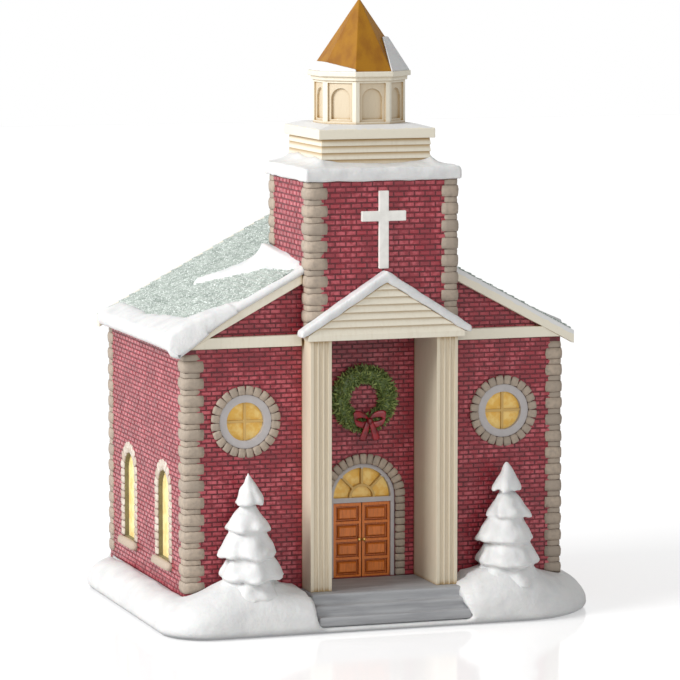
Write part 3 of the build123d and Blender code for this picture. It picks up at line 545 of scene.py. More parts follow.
def node_copy(node):
    """A merged copy of a CAD node's mesh, for a piece that stands for it."""
    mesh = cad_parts[node].data.copy()
    work = bmesh.new()
    work.from_mesh(mesh)
    bmesh.ops.remove_doubles(work, verts=work.verts, dist=0.002 * MM)
    work.to_mesh(mesh)
    work.free()
    return mesh


def eased_copy(node, width):
    """A node's shape with its sharp edges rounded over."""
    mesh = node_copy(node)
    work = bmesh.new()
    work.from_mesh(mesh)
    bmesh.ops.dissolve_limit(work, angle_limit=radians(1), verts=work.verts, edges=work.edges)
    work.to_mesh(mesh)
    work.free()
    carrier = bpy.data.objects.new(node, mesh)
    bevel = carrier.modifiers.new("ease", "BEVEL")
    bevel.width = width
    bevel.segments = 2
    bevel.limit_method = "ANGLE"
    bevel.angle_limit = radians(35)
    bevel.use_clamp_overlap = True
    return evaluated(link(carrier))


def skinned(mesh, grain, passes=2):
    """An even skin over a closed mesh, smoothed as poured clay is."""
    carrier = bpy.data.objects.new("skin", mesh)
    remesh = carrier.modifiers.new("skin", "REMESH")
    remesh.mode = "VOXEL"
    remesh.voxel_size = grain
    result = evaluated(link(carrier))
    work = bmesh.new()
    work.from_mesh(result)
    for _ in range(passes):
        bmesh.ops.smooth_vert(work, verts=work.verts, factor=0.5, use_axis_x=True, use_axis_y=True,
                              use_axis_z=True)
    work.to_mesh(result)
    work.free()
    return result


def meshed(work, name):
    """Close a bmesh as a mesh whose faces point outwards."""
    bmesh.ops.recalc_face_normals(work, faces=work.faces)
    mesh = bpy.data.meshes.new(name)
    work.to_mesh(mesh)
    work.free()
    return mesh


def bridge(work, one, two):
    """Join two closed rings of points by a band of faces."""
    for i in range(len(one)):
        j = (i + 1) % len(one)
        work.faces.new((one[i], one[j], two[j], two[i]))


def rims(work):
    """The open edges of a bmesh."""
    return [edge for edge in work.edges if edge.is_boundary]


def mark(mesh, name, test):
    """Give each face a value by a test of its middle and its normal."""
    layer = mesh.attributes.new(name, "FLOAT", "FACE")
    layer.data.foreach_set("value", [float(test(face.center, face.normal)) for face in mesh.polygons])


def drift(x, y, z, spread):
    """Soft noise from -1 to 1 whose lumps are about as wide as spread."""
    return noise.noise(Vector((x, y, z)) / spread)


def clamp(value, low=0.0, high=1.0):
    return min(high, max(low, value))


def shifted(mesh, move):
    """Move every vertex by what move(point, normal) gives."""
    normals = [vertex.normal.copy() for vertex in mesh.vertices]
    for vertex, normal in zip(mesh.vertices, normals):
        vertex.co += move(vertex.co, normal)
    mesh.update()
    return mesh


def blanket(name, cells, place, depth, sink):
    """A closed skin of snow over a grid: depth(u, v) gives its thickness, place(u, v, h) its points."""
    across, up = cells
    deep = {(i, j): depth(i / across, j / up) for i in range(across + 1) for j in range(up + 1)}
    work = bmesh.new()
    tops, feet = {}, {}

    def corner(spot):
        if spot not in tops:
            u, v = spot[0] / across, spot[1] / up
            tops[spot] = work.verts.new(place(u, v, max(deep[spot], -sink / 2)))
            feet[spot] = work.verts.new(place(u, v, -sink))
        return spot

    sides = {}
    for i in range(across):
        for j in range(up):
            ring = [(i, j), (i + 1, j), (i + 1, j + 1), (i, j + 1)]
            if max(deep[spot] for spot in ring) <= 0:
                continue
            ring = [corner(spot) for spot in ring]
            work.faces.new([tops[spot] for spot in ring])
            work.faces.new([feet[spot] for spot in reversed(ring)])
            for one, two in zip(ring, ring[1:] + ring[:1]):
                key = frozenset((one, two))
                sides[key] = None if key in sides else (one, two)
    for pair in sides.values():
        if pair:
            one, two = pair
            work.faces.new((tops[two], tops[one], feet[one], feet[two]))
    return meshed(work, name)


# Geometry trees for what repeats

def geometry_tree(name, floats):
    """An empty tree with a geometry socket, named sizes, a seed and a material."""
    tree = bpy.data.node_groups.new(name, "GeometryNodeTree")
    face = tree.interface
    face.new_socket("Geometry", in_out="INPUT", socket_type="NodeSocketGeometry")
    for label in floats:
        face.new_socket(label, in_out="INPUT", socket_type="NodeSocketFloat")
    face.new_socket("Seed", in_out="INPUT", socket_type="NodeSocketInt")
    face.new_socket("Material", in_out="INPUT", socket_type="NodeSocketMaterial")
    face.new_socket("Geometry", in_out="OUTPUT", socket_type="NodeSocketGeometry")
    return tree, tree.nodes.new("NodeGroupInput").outputs


def placed(tree, start, element, points):
    """Set the element on every point with the point's own turn and size, and give each a tint."""
    turn = put(tree, "GeometryNodeInputNamedAttribute", {"Name": "turn"}, data_type="FLOAT_VECTOR")
    size = put(tree, "GeometryNodeInputNamedAttribute", {"Name": "size"}, data_type="FLOAT_VECTOR")
    spin = put(tree, "FunctionNodeEulerToRotation", {0: turn.outputs[0]})
    stamped = put(tree, "GeometryNodeInstanceOnPoints",
                  {"Points": points, "Instance": element, "Rotation": spin.outputs[0],
                   "Scale": size.outputs[0]})
    return tinted(tree, start, stamped.outputs[0])


def tinted(tree, start, instances):
    """Draw a tint for each instance."""
    draw = put(tree, "FunctionNodeRandomValue", {"Seed": start["Seed"]}, data_type="FLOAT")
    return put(tree, "GeometryNodeStoreNamedAttribute",
               {"Geometry": instances, "Name": "tint", "Value": draw.outputs["Value"]},
               data_type="FLOAT", domain="INSTANCE").outputs[0]


def finished(tree, start, geometry):
    """Close a tree: real geometry, one material."""
    real = put(tree, "GeometryNodeRealizeInstances", {"Geometry": geometry})
    painted = put(tree, "GeometryNodeSetMaterial",
                  {"Geometry": real.outputs[0], "Material": start["Material"]})
    put(tree, "NodeGroupOutput", {"Geometry": painted.outputs[0]})
    return tree


def block_tree():
    """Flat blocks with a sloping worn edge, laid on points: bricks and shingles."""
    tree, start = geometry_tree("laid_blocks", ("Width", "Depth", "Height", "Edge", "Wobble"))
    size = put(tree, "ShaderNodeCombineXYZ", {"X": start["Width"], "Y": start["Depth"], "Z": start["Height"]})
    cube = put(tree, "GeometryNodeMeshCube", {"Size": size.outputs[0]})
    normal = put(tree, "GeometryNodeInputNormal")
    facing = vectors(tree, "DOT_PRODUCT", {0: normal.outputs[0], 1: (0, -1, 0)})["Value"]
    front = put(tree, "FunctionNodeCompare", {0: facing, 1: 0.5}, operation="GREATER_THAN")
    raised = put(tree, "GeometryNodeExtrudeMesh",
                 {"Mesh": cube.outputs["Mesh"], "Selection": front.outputs[0],
                  "Offset Scale": start["Edge"], "Individual": False}, mode="FACES")
    shrunk = put(tree, "GeometryNodeScaleElements",
                 {"Geometry": raised.outputs["Mesh"], "Selection": raised.outputs["Top"], "Scale": 0.84})
    worn = put(tree, "GeometryNodeStoreNamedAttribute",
               {"Geometry": shrunk.outputs[0], "Selection": raised.outputs["Side"], "Name": "rim",
                "Value": 1.0}, data_type="FLOAT", domain="FACE")
    laid = placed(tree, start, worn.outputs[0], start["Geometry"])
    draw = put(tree, "FunctionNodeRandomValue",
               {"Min": (-1, -1, -1), "Max": (1, 1, 1), "Seed": start["Seed"]}, data_type="FLOAT_VECTOR")
    reach = vectors(tree, "SCALE", {0: draw.outputs["Value"], "Scale": start["Wobble"]})[0]
    uneven = put(tree, "GeometryNodeTranslateInstances",
                 {"Instances": laid, "Translation": reach, "Local Space": True})
    return finished(tree, start, uneven.outputs[0])


def stone_tree():
    """Rounded stones, each a box drawn in to a smooth swollen form, with uneven faces."""
    tree, start = geometry_tree("rounded_stones", ("Lump", "Grain"))
    cube = put(tree, "GeometryNodeMeshCube",
               {"Size": (2, 2, 2), "Vertices X": 4, "Vertices Y": 4, "Vertices Z": 4})
    spot = put(tree, "GeometryNodeInputPosition").outputs[0]
    square = vectors(tree, "MULTIPLY", {0: spot, 1: spot})[0]
    fourth = vectors(tree, "MULTIPLY", {0: square, 1: square})[0]
    eighth = vectors(tree, "DOT_PRODUCT", {0: fourth, 1: fourth})["Value"]
    draw_in = put(tree, "ShaderNodeMath", {0: eighth, 1: -0.125}, operation="POWER").outputs[0]
    swollen = vectors(tree, "SCALE", {0: spot, "Scale": draw_in})[0]
    stone = put(tree, "GeometryNodeSetPosition", {"Geometry": cube.outputs["Mesh"], "Position": swollen})
    laid = placed(tree, start, stone.outputs[0], start["Geometry"])
    real = put(tree, "GeometryNodeRealizeInstances", {"Geometry": laid}).outputs[0]
    rough = put(tree, "ShaderNodeTexNoise", {"Scale": start["Grain"], "Detail": 2.0})
    evened = vectors(tree, "SUBTRACT", {0: rough.outputs["Color"], 1: (0.5, 0.5, 0.5)})[0]
    push = vectors(tree, "SCALE", {0: evened, "Scale": start["Lump"]})[0]
    uneven = put(tree, "GeometryNodeSetPosition", {"Geometry": real, "Offset": push})
    return finished(tree, start, uneven.outputs[0])


def leaf_tree():
    """A ring of leaves: points spread over a ring, a pointed leaf lying on each."""
    tree, start = geometry_tree("leafy_ring", ("Leaf", "Leaves"))
    spread = put(tree, "GeometryNodeDistributePointsOnFaces",
                 {"Mesh": start["Geometry"], "Density": start["Leaves"], "Seed": start["Seed"]})
    leaf = put(tree, "GeometryNodeMeshCone",
               {"Vertices": 5, "Radius Top": 0.0, "Radius Bottom": 0.42, "Depth": 1.2})
    thin = put(tree, "GeometryNodeTransform", {"Geometry": leaf.outputs["Mesh"], "Scale": (1.0, 0.55, 1.0)})
    lean = put(tree, "FunctionNodeRandomValue", {"Min": (-0.9, -0.9, -pi), "Max": (0.9, 0.9, pi),
                                                 "Seed": start["Seed"]}, data_type="FLOAT_VECTOR")
    spin = put(tree, "FunctionNodeEulerToRotation", {0: lean.outputs["Value"]})
    both = put(tree, "FunctionNodeRotateRotation", {0: spread.outputs["Rotation"], 1: spin.outputs[0]},
               rotation_space="LOCAL")
    stamped = put(tree, "GeometryNodeInstanceOnPoints",
                  {"Points": spread.outputs["Points"], "Instance": thin.outputs[0],
                   "Rotation": both.outputs[0], "Scale": start["Leaf"]})
    leaves = tinted(tree, start, stamped.outputs[0])
    whole = put(tree, "GeometryNodeJoinGeometry")
    tree.links.new(leaves, whole.inputs[0])
    tree.links.new(start["Geometry"], whole.inputs[0])
    return finished(tree, start, whole.outputs[0])


# Places read from the CAD boxes

def roof_under(x):
    """Height of the roof's underside at a distance from the middle."""
    ridge = BOX["nave_walls"][1].z
    return ridge - abs(x) * tan(bpy.context.scene.church_roof.pitch)


def roof_lift():
    """Height of the roof's upper face above its underside."""
    return BOX["nave_roof"][1].z - BOX["nave_walls"][1].z


def middle(node):
    """Centre of a node's box."""
    low, high = BOX[node]
    return (low + high) / 2


def fir_y(node):
    """The fir's axis: its front reach counted back from its lowest Y."""
    low, high = BOX[node]
    return low.y + (high.x - low.x) / 2


def heading(turn):
    """The direction along a wall, left to right for someone facing it."""
    return Vector((cos(turn), sin(turn), 0))


# Brickwork

def course_rows(look, course, foot, turn, half, top, shows):
    """Bricks in running bond on one wall, cut where they don't show."""
    along = heading(turn)
    parts = 6
    rows = []
    for i in range(int((top - foot.z) / course)):
        z = (i + 0.5) * course
        start = -half - (look.pitch / 2 if i % 2 else 0)
        while start < half:
            spots = [start + look.pitch * (k + 0.5) / parts for k in range(parts)]
            seen = [u for u in spots if abs(u) < half and shows(u, foot.z + z)]
            if len(seen) > 1:
                reach = seen[-1] - seen[0] + look.pitch / parts
                spot = foot + along * (seen[0] + seen[-1]) / 2 + Vector((0, 0, z))
                rows.append((spot, (0, 0, turn), (reach / look.pitch, 1, course / look.course)))
            start += look.pitch
    return rows


def corner_clear(u, z, half, foot):
    """Test for a point beside the corner stones, or below them."""
    stone = bpy.context.scene.church_stone
    return z < foot or abs(u) < half - NARROW * stone.short + stone.sunk + 1 * MM


def arch_clear(half, spring, foot):
    """Test for points outside a round-headed opening."""
    def outside(u, z):
        if z > spring:
            return hypot(u, z - spring) > half
        return abs(u) > half or z < foot
    return outside


def brick_walls(look):
    """Rows of bricks for each wall, left out where stones, windows, gable or roof cover it."""
    nave_low, nave_high = BOX["nave_walls"]
    tower_low, tower_high = BOX["tower_walls"]
    quoin_foot = BOX["nave_quoins_front"][0].z
    foot_z = quoin_foot - 3 * look.course
    round_bed, side_bed = 1.2 * MM, 1.6 * MM
    walls = {"front_brickwork": [], "left_brickwork": [], "right_brickwork": [], "back_brickwork": [],
             "tower_brickwork": []}

    def lay(name, course, foot, turn, half, top, shows):
        walls[name] += course_rows(look, course, Vector(foot), turn, half, top, shows)

    bay = (nave_high.x - tower_high.x) / 2
    window = middle("round_window_pane_right")
    clear = BOX["round_window_frame_right"][1].x - window.x + round_bed
    for side in (-1, 1):
        centre = side * (tower_high.x + bay)

        def bay_shows(u, z):
            x = centre + u
            beside = corner_clear(x, z, nave_high.x, quoin_foot)
            return beside and z < roof_under(x) and hypot(abs(x) - window.x, z - window.z) > clear

        lay("front_brickwork", look.course, (centre, nave_low.y, foot_z), FRONT, bay, nave_high.z, bay_shows)
    door_low, door_high = BOX["door_frame"]
    surround = BOX["door_surround"][1]
    arch = arch_clear((door_high.x + surround.x) / 2, door_high.z - door_high.x, door_low.z)
    lay("front_brickwork", look.course, (0, surround.y, door_low.z), FRONT, BOX["pier_right"][0].x,
        tower_low.z, arch)

    yard = (nave_low.y + nave_high.y) / 2
    half = (nave_high.y - nave_low.y) / 2
    pane_low, pane_high = BOX["side_window_pane_right_front"]
    pane_half = (pane_high.y - pane_low.y) / 2
    off = abs(middle("side_window_pane_right_front").y - yard)
    window_clear = arch_clear(pane_half + side_bed, pane_high.z - pane_half, pane_low.z - side_bed)

    def side_shows(u, z):
        return corner_clear(u, z, half, quoin_foot) and window_clear(abs(u) - off, z)

    def back_shows(u, z):
        return corner_clear(u, z, nave_high.x, quoin_foot) and z < roof_under(u)

    eave = roof_under(nave_high.x)
    lay("left_brickwork", look.course, (nave_low.x, yard, foot_z), LEFT, half, eave, side_shows)
    lay("right_brickwork", look.course, (nave_high.x, yard, foot_z), RIGHT, half, eave, side_shows)
    lay("back_brickwork", look.course, (0, nave_high.y, foot_z), BACK, nave_high.x, nave_high.z, back_shows)

    gable_low, gable_high = BOX["pediment"]
    rise = gable_high.z - gable_low.z
    lift = roof_lift()
    hidden = roof_under(tower_high.x) + lift - look.course
    tower_y = (tower_low.y + tower_high.y) / 2
    reach = (tower_high.y - tower_low.y) / 2

    def above_gable(u, z):
        above = z > gable_low.z + rise * (1 - abs(u) / gable_high.x) - look.course
        return above and corner_clear(u, z, tower_high.x, tower_low.z)

    def above_roof(u, z):
        above = z > roof_under(u) + lift - look.course
        return above and corner_clear(u, z, tower_high.x, tower_low.z)

    lay("tower_brickwork", look.tower_course, (0, tower_low.y, tower_low.z), FRONT, tower_high.x,
        tower_high.z, above_gable)
    for side, turn in ((-1, LEFT), (1, RIGHT)):

        def side_of_tower(u, z):
            shown = z > hidden or tower_y + side * u < nave_low.y
            return shown and corner_clear(u, z, reach, tower_low.z)

        lay("tower_brickwork", look.tower_course, (side * tower_high.x, tower_y, tower_low.z), turn, reach,
            tower_high.z, side_of_tower)
    lay("tower_brickwork", look.tower_course, (0, tower_high.y, tower_low.z), BACK, tower_high.x,
        tower_high.z, above_roof)
    return walls


class CHURCH_OT_brickwork(bpy.types.Operator):
    """Lay brick courses on the outside walls, in mortar"""
    bl_idname = "church.brickwork"
    bl_label = "Brickwork"

    def execute(self, context):
        look = context.scene.church_brick
        brick = brick_finish(look)
        mortar = mortar_finish(look)
        tree = block_tree()
        sizes = {"Width": look.pitch - look.joint, "Depth": 2 * look.relief - 2 * look.edge,
                 "Height": look.course - look.joint, "Edge": look.edge, "Wobble": look.wobble,
                 "Seed": look.seed, "Material": brick}
        for name, rows in brick_walls(look).items():
            mesh = grown(name, tree, point_mesh(name, rows), sizes)
            ride(name, mesh, brick, smooth=False)
        for node in ("nave_walls", "tower_walls"):
            coat(node, mortar)
        return {"FINISHED"}


# Stones

# Stones in the arches of the door and the side windows and in the ring of a round window
DOOR_STONES, SIDE_STONES, ROUND_STONES = 17, 9, 24
# Height of one stone beside the door and beside a side window
DOOR_JAMB, SIDE_JAMB = 2.6 * MM, 2.7 * MM
# Half depth of the side windows' stones, and the fall of their sills
SIDE_DEPTH, SILL_FALL = 0.6 * MM, radians(14)
# Width of the lumps on a stone
STONE_GRAIN = 2.2 * MM


def corner_rows(look, corner, inward, foot, top, reach):
    """Long rounded stones and low short ones in turn, up one corner."""
    long_swell, short_swell = 1.12, 1.3
    pairs = round((top - foot) / (look.tall + look.low))
    stretch = (top - foot) / (pairs * (look.tall + look.low))
    rows = []
    z = foot
    for i in range(2 * pairs):
        is_long = i % 2 == 0
        tall = stretch * (look.tall if is_long else look.low)
        half = reach * (look.long if is_long else look.short) / 2
        inset = half - (look.proud if is_long else look.sunk)
        swell = long_swell if is_long else short_swell
        spot = Vector((corner.x + inward[0] * inset, corner.y + inward[1] * inset, z + tall / 2))
        rows.append((spot, (0, 0, 0), (half, half, tall / 2 * swell)))
        z += tall
    return rows


def ring_rows(look, centre, turn, radii, start, sweep, stones, depth):
    """Stones on an arc about a window or a door head."""
    inner, outer = radii
    along = heading(turn)
    step = sweep / stones
    tangent = ((inner + outer) / 2 * step - look.joint) / 2
    rows = []
    for i in range(stones):
        angle = start + (i + 0.5) * step
        reach = (inner + outer) / 2
        spot = centre + along * reach * cos(angle) + Vector((0, 0, reach * sin(angle)))
        rows.append((spot, (0, -angle, turn), ((outer - inner) / 2, depth, tangent)))
    return rows


def jamb_rows(look, centre, turn, radii, foot, pitch, depth):
    """Stones stacked below both ends of an arch."""
    inner, outer = radii
    along = heading(turn)
    stones = max(int((centre.z - foot) / pitch + 0.5), 1)
    step = (centre.z - foot) / stones
    rows = []
    for side in (-1, 1):
        for i in range(stones):
            spot = centre + along * side * (inner + outer) / 2 - Vector((0, 0, (i + 0.5) * step))
            rows.append((spot, (0, 0, turn), ((outer - inner) / 2, depth, (step - look.joint) / 2)))
    return rows


def corner_stones(look):
    """Rows of corner stones for each CAD node of them."""
    rows = {}
    for body in ("nave", "tower"):
        low, high = BOX[body + "_walls"]
        for place, y, inward in (("front", low.y, 1), ("back", high.y, -1)):
            node = body + "_quoins_" + place
            foot, top = (corner.z for corner in BOX[node])
            rows[node] = []
            for x, turn in ((low.x, 1), (high.x, -1)):
                reach = 1.0 if inward > 0 and turn > 0 else NARROW
                rows[node] += corner_rows(look, Vector((x, y, 0)), (turn, inward), foot, top, reach)
    return rows


def opening_stones(look):
    """Rows of stones round the doorway, the round windows and the side windows."""
    rows = {}
    frame_high = BOX["door_frame"][1]
    low, high = BOX["door_surround"]
    half_depth = (high.y - low.y) / 2
    centre = Vector((0, (low.y + high.y) / 2, frame_high.z - frame_high.x))
    radii = (frame_high.x, high.x)
    door = ring_rows(look, centre, FRONT, radii, 0, pi, DOOR_STONES, half_depth)
    rows["door_surround"] = door + jamb_rows(look, centre, FRONT, radii, low.z, DOOR_JAMB, half_depth)
    for name in ("left", "right"):
        node = "round_window_surround_" + name
        low, high = BOX[node]
        inner = BOX["round_window_frame_" + name]
        spot = (low + high) / 2
        radii = ((inner[1].x - inner[0].x) / 2, (high.x - low.x) / 2)
        rows[node] = ring_rows(look, spot, FRONT, radii, 0, 2 * pi, ROUND_STONES, (high.y - low.y) / 2)
        for place in ("front", "back"):
            node = "side_window_surround_%s_%s" % (name, place)
            rows[node] = side_window_rows(look, name, place)
    return rows


def side_window_rows(look, name, place):
    """Arch, jambs and sill of one side window."""
    low, high = BOX["side_window_surround_%s_%s" % (name, place)]
    pane_low, pane_high = BOX["side_window_pane_%s_%s" % (name, place)]
    turn = LEFT if name == "left" else RIGHT
    wall = high.x if name == "left" else low.x
    out = -1 if name == "left" else 1
    pane_half = (pane_high.y - pane_low.y) / 2
    centre = Vector((wall - out * SIDE_DEPTH / 4, (low.y + high.y) / 2, pane_high.z - pane_half))
    radii = (pane_half, (high.y - low.y) / 2)
    rows = ring_rows(look, centre, turn, radii, 0, pi, SIDE_STONES, SIDE_DEPTH)
    rows += jamb_rows(look, centre, turn, radii, pane_low.z, SIDE_JAMB, SIDE_DEPTH)
    sill = pane_low.z - low.z
    reach = high.x - low.x
    spot = Vector((wall + out * reach / 4, centre.y, low.z + sill / 2))
    rows.append((spot, (-SILL_FALL, 0, turn), ((high.y - low.y) / 2, reach * 0.75, sill * 0.5)))
    return rows


class CHURCH_OT_stonework(bpy.types.Operator):
    """Set rounded stones up the corners and round every opening"""
    bl_idname = "church.stonework"
    bl_label = "Stonework"

    def execute(self, context):
        look = context.scene.church_stone
        taupe = stone_finish("stone_paint", look.cool, look.warm, look.wash)
        pale = stone_finish("pale_stone", look.warm, look.pale, look.cool)
        tree = stone_tree()
        for slot, rows in (("stone", corner_stones(look)), ("window_stone", opening_stones(look))):
            for node, stones in rows.items():
                stone = pale if node.startswith("side") else taupe
                values = {"Lump": look.lump * 2, "Grain": 1 / STONE_GRAIN, "Seed": look.seed,
                          "Material": stone}
                mesh = grown(node, tree, point_mesh(node, stones), values)
                ride(node + "_stones", mesh, stone, (node,))
        return {"FINISHED"}


# Roof

def slope_point(side, along, up, out):
    """A point on one roof slope: along from the front, up from the eave, out from the surface."""
    pitch = bpy.context.scene.church_roof.pitch
    low, high = BOX["nave_roof"]
    eave_z = high.z - high.x * tan(pitch)
    return Vector((side * (high.x - up * cos(pitch) + out * sin(pitch)), low.y + along,
                   eave_z + up * sin(pitch) + out * cos(pitch)))


def shingle_rows(look, side):
    """Shingles in staggered courses on one slope, left out under the tower."""
    low, high = BOX["nave_roof"]
    tower = BOX["tower_walls"][1]
    deep = high.y - low.y
    slope = high.x / cos(look.pitch)
    turn = LEFT if side < 0 else RIGHT
    lay = (-(pi / 2 - look.pitch) - look.tilt, 0, turn)
    rows = []
    for i in range(int(slope / look.course)):
        up = (i + 0.5) * look.course
        start = look.width * (0.5 if i % 2 else 1.0)
        for j in range(int(deep / look.width)):
            spot = slope_point(side, start + j * look.width, up, look.thick * 0.75)
            if abs(spot.x) > tower.x or spot.y > tower.y:
                rows.append((spot, lay, (1, 1, 1)))
    return rows


class CHURCH_OT_shingles(bpy.types.Operator):
    """Lay frosted shingles on both roof slopes"""
    bl_idname = "church.shingles"
    bl_label = "Shingles"

    def execute(self, context):
        look = context.scene.church_roof
        frost = shingle_finish(look)
        tree = bpy.data.node_groups["laid_blocks"]
        values = {"Width": look.width - look.gap, "Depth": look.thick, "Height": look.course * 1.35,
                  "Edge": 0.12 * MM, "Wobble": 0.08 * MM, "Seed": look.seed, "Material": frost}
        for side, name in ((-1, "left_shingles"), (1, "right_shingles")):
            mesh = grown(name, tree, point_mesh(name, shingle_rows(look, side)), values)
            ride(name, mesh, frost, smooth=False)
        coat("nave_roof", frost)
        return {"FINISHED"}


# Snow

def near_line(point, start, end):
    """Distance from a line and how far along it the nearest point is, from 0 to 1."""
    run = end - start
    along = clamp((point - start).dot(run) / run.length_squared)
    return (point - (start + run * along)).length, along


def edge_wave(s, t, first, second):
    """Waver of the snow's edge on a roof slope, in millimetres."""
    return 1.3 * drift(s, t, first, 14) + 0.8 * drift(s, t, second, 6)


def tower_snow(s, t, wave, start, end, wide, taper, slope):
    """Snow that runs down from the tower in a tongue and lies in a bank beside it."""
    gap, along = near_line(Vector((s, t, 0)), Vector(start), Vector(end))
    tongue = wide - taper * along - gap + 0.7 * wave
    bank = t - 50.0 + slope * s + 0.5 * wave if s < 40 and t < 58 else -9.0
    return max(tongue, bank)


def left_drift(s, t):
    """How far inside the left slope's snow a point lies, in millimetres: eave, rake and tower."""
    wave = edge_wave(s, t, 0, 5)
    eave = 8.8 + 6.2 * exp(-(s / 38) ** 2) - t + wave - 1.4 * max(0.0, s - 93)
    rake = 1.8 + 15.0 * exp(-(t / 20) ** 2.6) - s + 0.5 * wave
    tower = tower_snow(s, t, wave, (30, 53, 0), (61, 31.5, 0), 8.0, 5.2, 0.13)
    front = s + 3.7 + 1.5 * exp(-(t / 15) ** 2)
    return min(max(eave, rake, tower), 4 * front)


def right_drift(s, t):
    """The same for the right slope: eave and tower."""
    wave = edge_wave(s, t, 9, 3)
    eave = 10.5 - t + wave - 1.4 * (max(0.0, 18 - s) + max(0.0, s - 93))
    return max(eave, tower_snow(s, t, wave, (26, 53, 0), (50, 39, 0), 7.0, 4.5, 0.1))


def roof_blanket(name, side, inside, depth):
    """Snow on one slope, hanging over the eave and the gable ends and banked up against the tower."""
    low, high = BOX["nave_roof"]
    tower = BOX["tower_walls"][1]
    pitch = bpy.context.scene.church_roof.pitch
    over, hang = (3.4 if side > 0 else 5.2) * MM, 2.9 * MM
    bank_tall, rim, sag_start, sag_deep = 4.6, 2.2, 3.4, 3.4 * MM
    heap_tall = 1.5 if side > 0 else 2.2
    deep = high.y - low.y + 2 * over
    tall = high.x / cos(pitch) + hang
    foot = (high.x - tower.x) / cos(pitch)
    eave = slope_point(side, 0, 0, 0).z

    def snow(u, v):
        s, t = (u * deep - over) / MM, (v * tall - hang) / MM
        within = inside(s, max(t, 0.0))
        if within <= 0:
            return within * 0.2 * MM
        beside = max(0.0, s * MM - (tower.y - low.y))
        climb = clamp((s - 5) / 30)
        bank = bank_tall * climb * exp(-abs(foot / MM - t) / 5) * exp(-beside / (8 * MM))
        heap = heap_tall * exp(-(s * s + (t - 5) ** 2) / 200)
        lumps = 0.3 * drift(s, t, 2, 5)
        edge = min(t + hang / MM + 0.2, s + over / MM + 0.5, deep / MM - over / MM + 0.5 - s) / rim
        thin = 0.5 if s < 2 and t > 24 else 1.0
        return (thin * depth * (1 - exp(-within / 1.6)) + (lumps + bank + heap) * MM) * clamp(edge) ** 0.5

    def place(u, v, h):
        s, t = u * deep - over, v * tall - hang
        lip = clamp((-s / MM - sag_start) / 1.2) * clamp(1 + t / hang, 0.55)
        sag = Vector((0, 0, sag_deep * lip * exp(-(t / (13 * MM)) ** 2)))
        if t > 0:
            return slope_point(side, s, t, h) - sag
        lean = pitch + (pi / 2 - pitch) * min(1.0, -t / (1.6 * MM))
        return Vector((side * (high.x + h * sin(lean)), low.y + s, eave + t + h * cos(lean))) - sag

    return blanket(name, (160, 120), place, snow, 1.2 * MM)


def wall_bank(x, y):
    """How far the snow stands above or below its level line where it meets a wall, in millimetres."""
    nave_low = BOX["nave_walls"][0]
    if y > nave_low.y:
        level = -1.2 if x < nave_low.x else 0.6
    else:
        pier = exp(-max(0.0, abs(x) - BOX["pier_right"][1].x) / (12 * MM))
        level = 1.8 * pier + (0.0 if x < 0 else 1.0) - 1.1 * clamp((-62 * MM - x) / (8 * MM))
    return level + 0.5 * drift(x, y, 0, 15 * MM)


def base_shift(look):
    """Lumps on the snow base, banks along the walls and mounds round the firs."""
    nave_low, nave_high = BOX["nave_walls"]
    steps_high = BOX["entrance_steps"][1]
    skirt, ramp, mound_wide = 2.2 * MM, 5 * MM, 14 * MM
    firs = [(middle(node).x, fir_y(node)) for node in ("tree_left", "tree_right")]

    def move(point, normal):
        x, y, z = point
        if z < skirt:
            return Vector((0, 0, max(0.0, -z)))
        rise = min(1.0, (z - skirt) / ramp)
        lump = look.lump * (drift(x, y, z, 17 * MM) + 0.35 * drift(x, y, z, 7 * MM)) * rise
        push = normal * (lump - 0.35 * look.lump)
        out = hypot(max(abs(x) - nave_high.x, 0), max(nave_low.y - y, y - nave_high.y, 0))
        beside = abs(x) - steps_high.x
        at_front = y < nave_low.y
        if at_front and 0 < beside < 4 * MM and normal.x * x < -0.3 * abs(x):
            push.x -= (2.2 if x > 0 else 0.6) * MM * rise
        if normal.z > 0.3 and out > 0 and not (at_front and beside < 0.6 * MM):
            bank = wall_bank(x, y) * MM * exp(-out / (6 * MM))
            mound = sum(look.mound * exp(-((x - fx) ** 2 + (y - fy) ** 2) / mound_wide ** 2)
                        for fx, fy in firs)
            push.z += (bank + mound) * rise * (clamp(beside / (3 * MM)) if at_front else 1.0)
        return push

    return move


class CHURCH_OT_snow_base(bpy.types.Operator):
    """Pour the lumpy snow base"""
    bl_idname = "church.snow_base"
    bl_label = "Snow base"

    def execute(self, context):
        look = context.scene.church_snow
        skin = shifted(skinned(node_copy("snow_base"), look.grain, 3), base_shift(look))
        ride("snow_ground", skin, snow_finish(look), ("snow_base",))
        return {"FINISHED"}


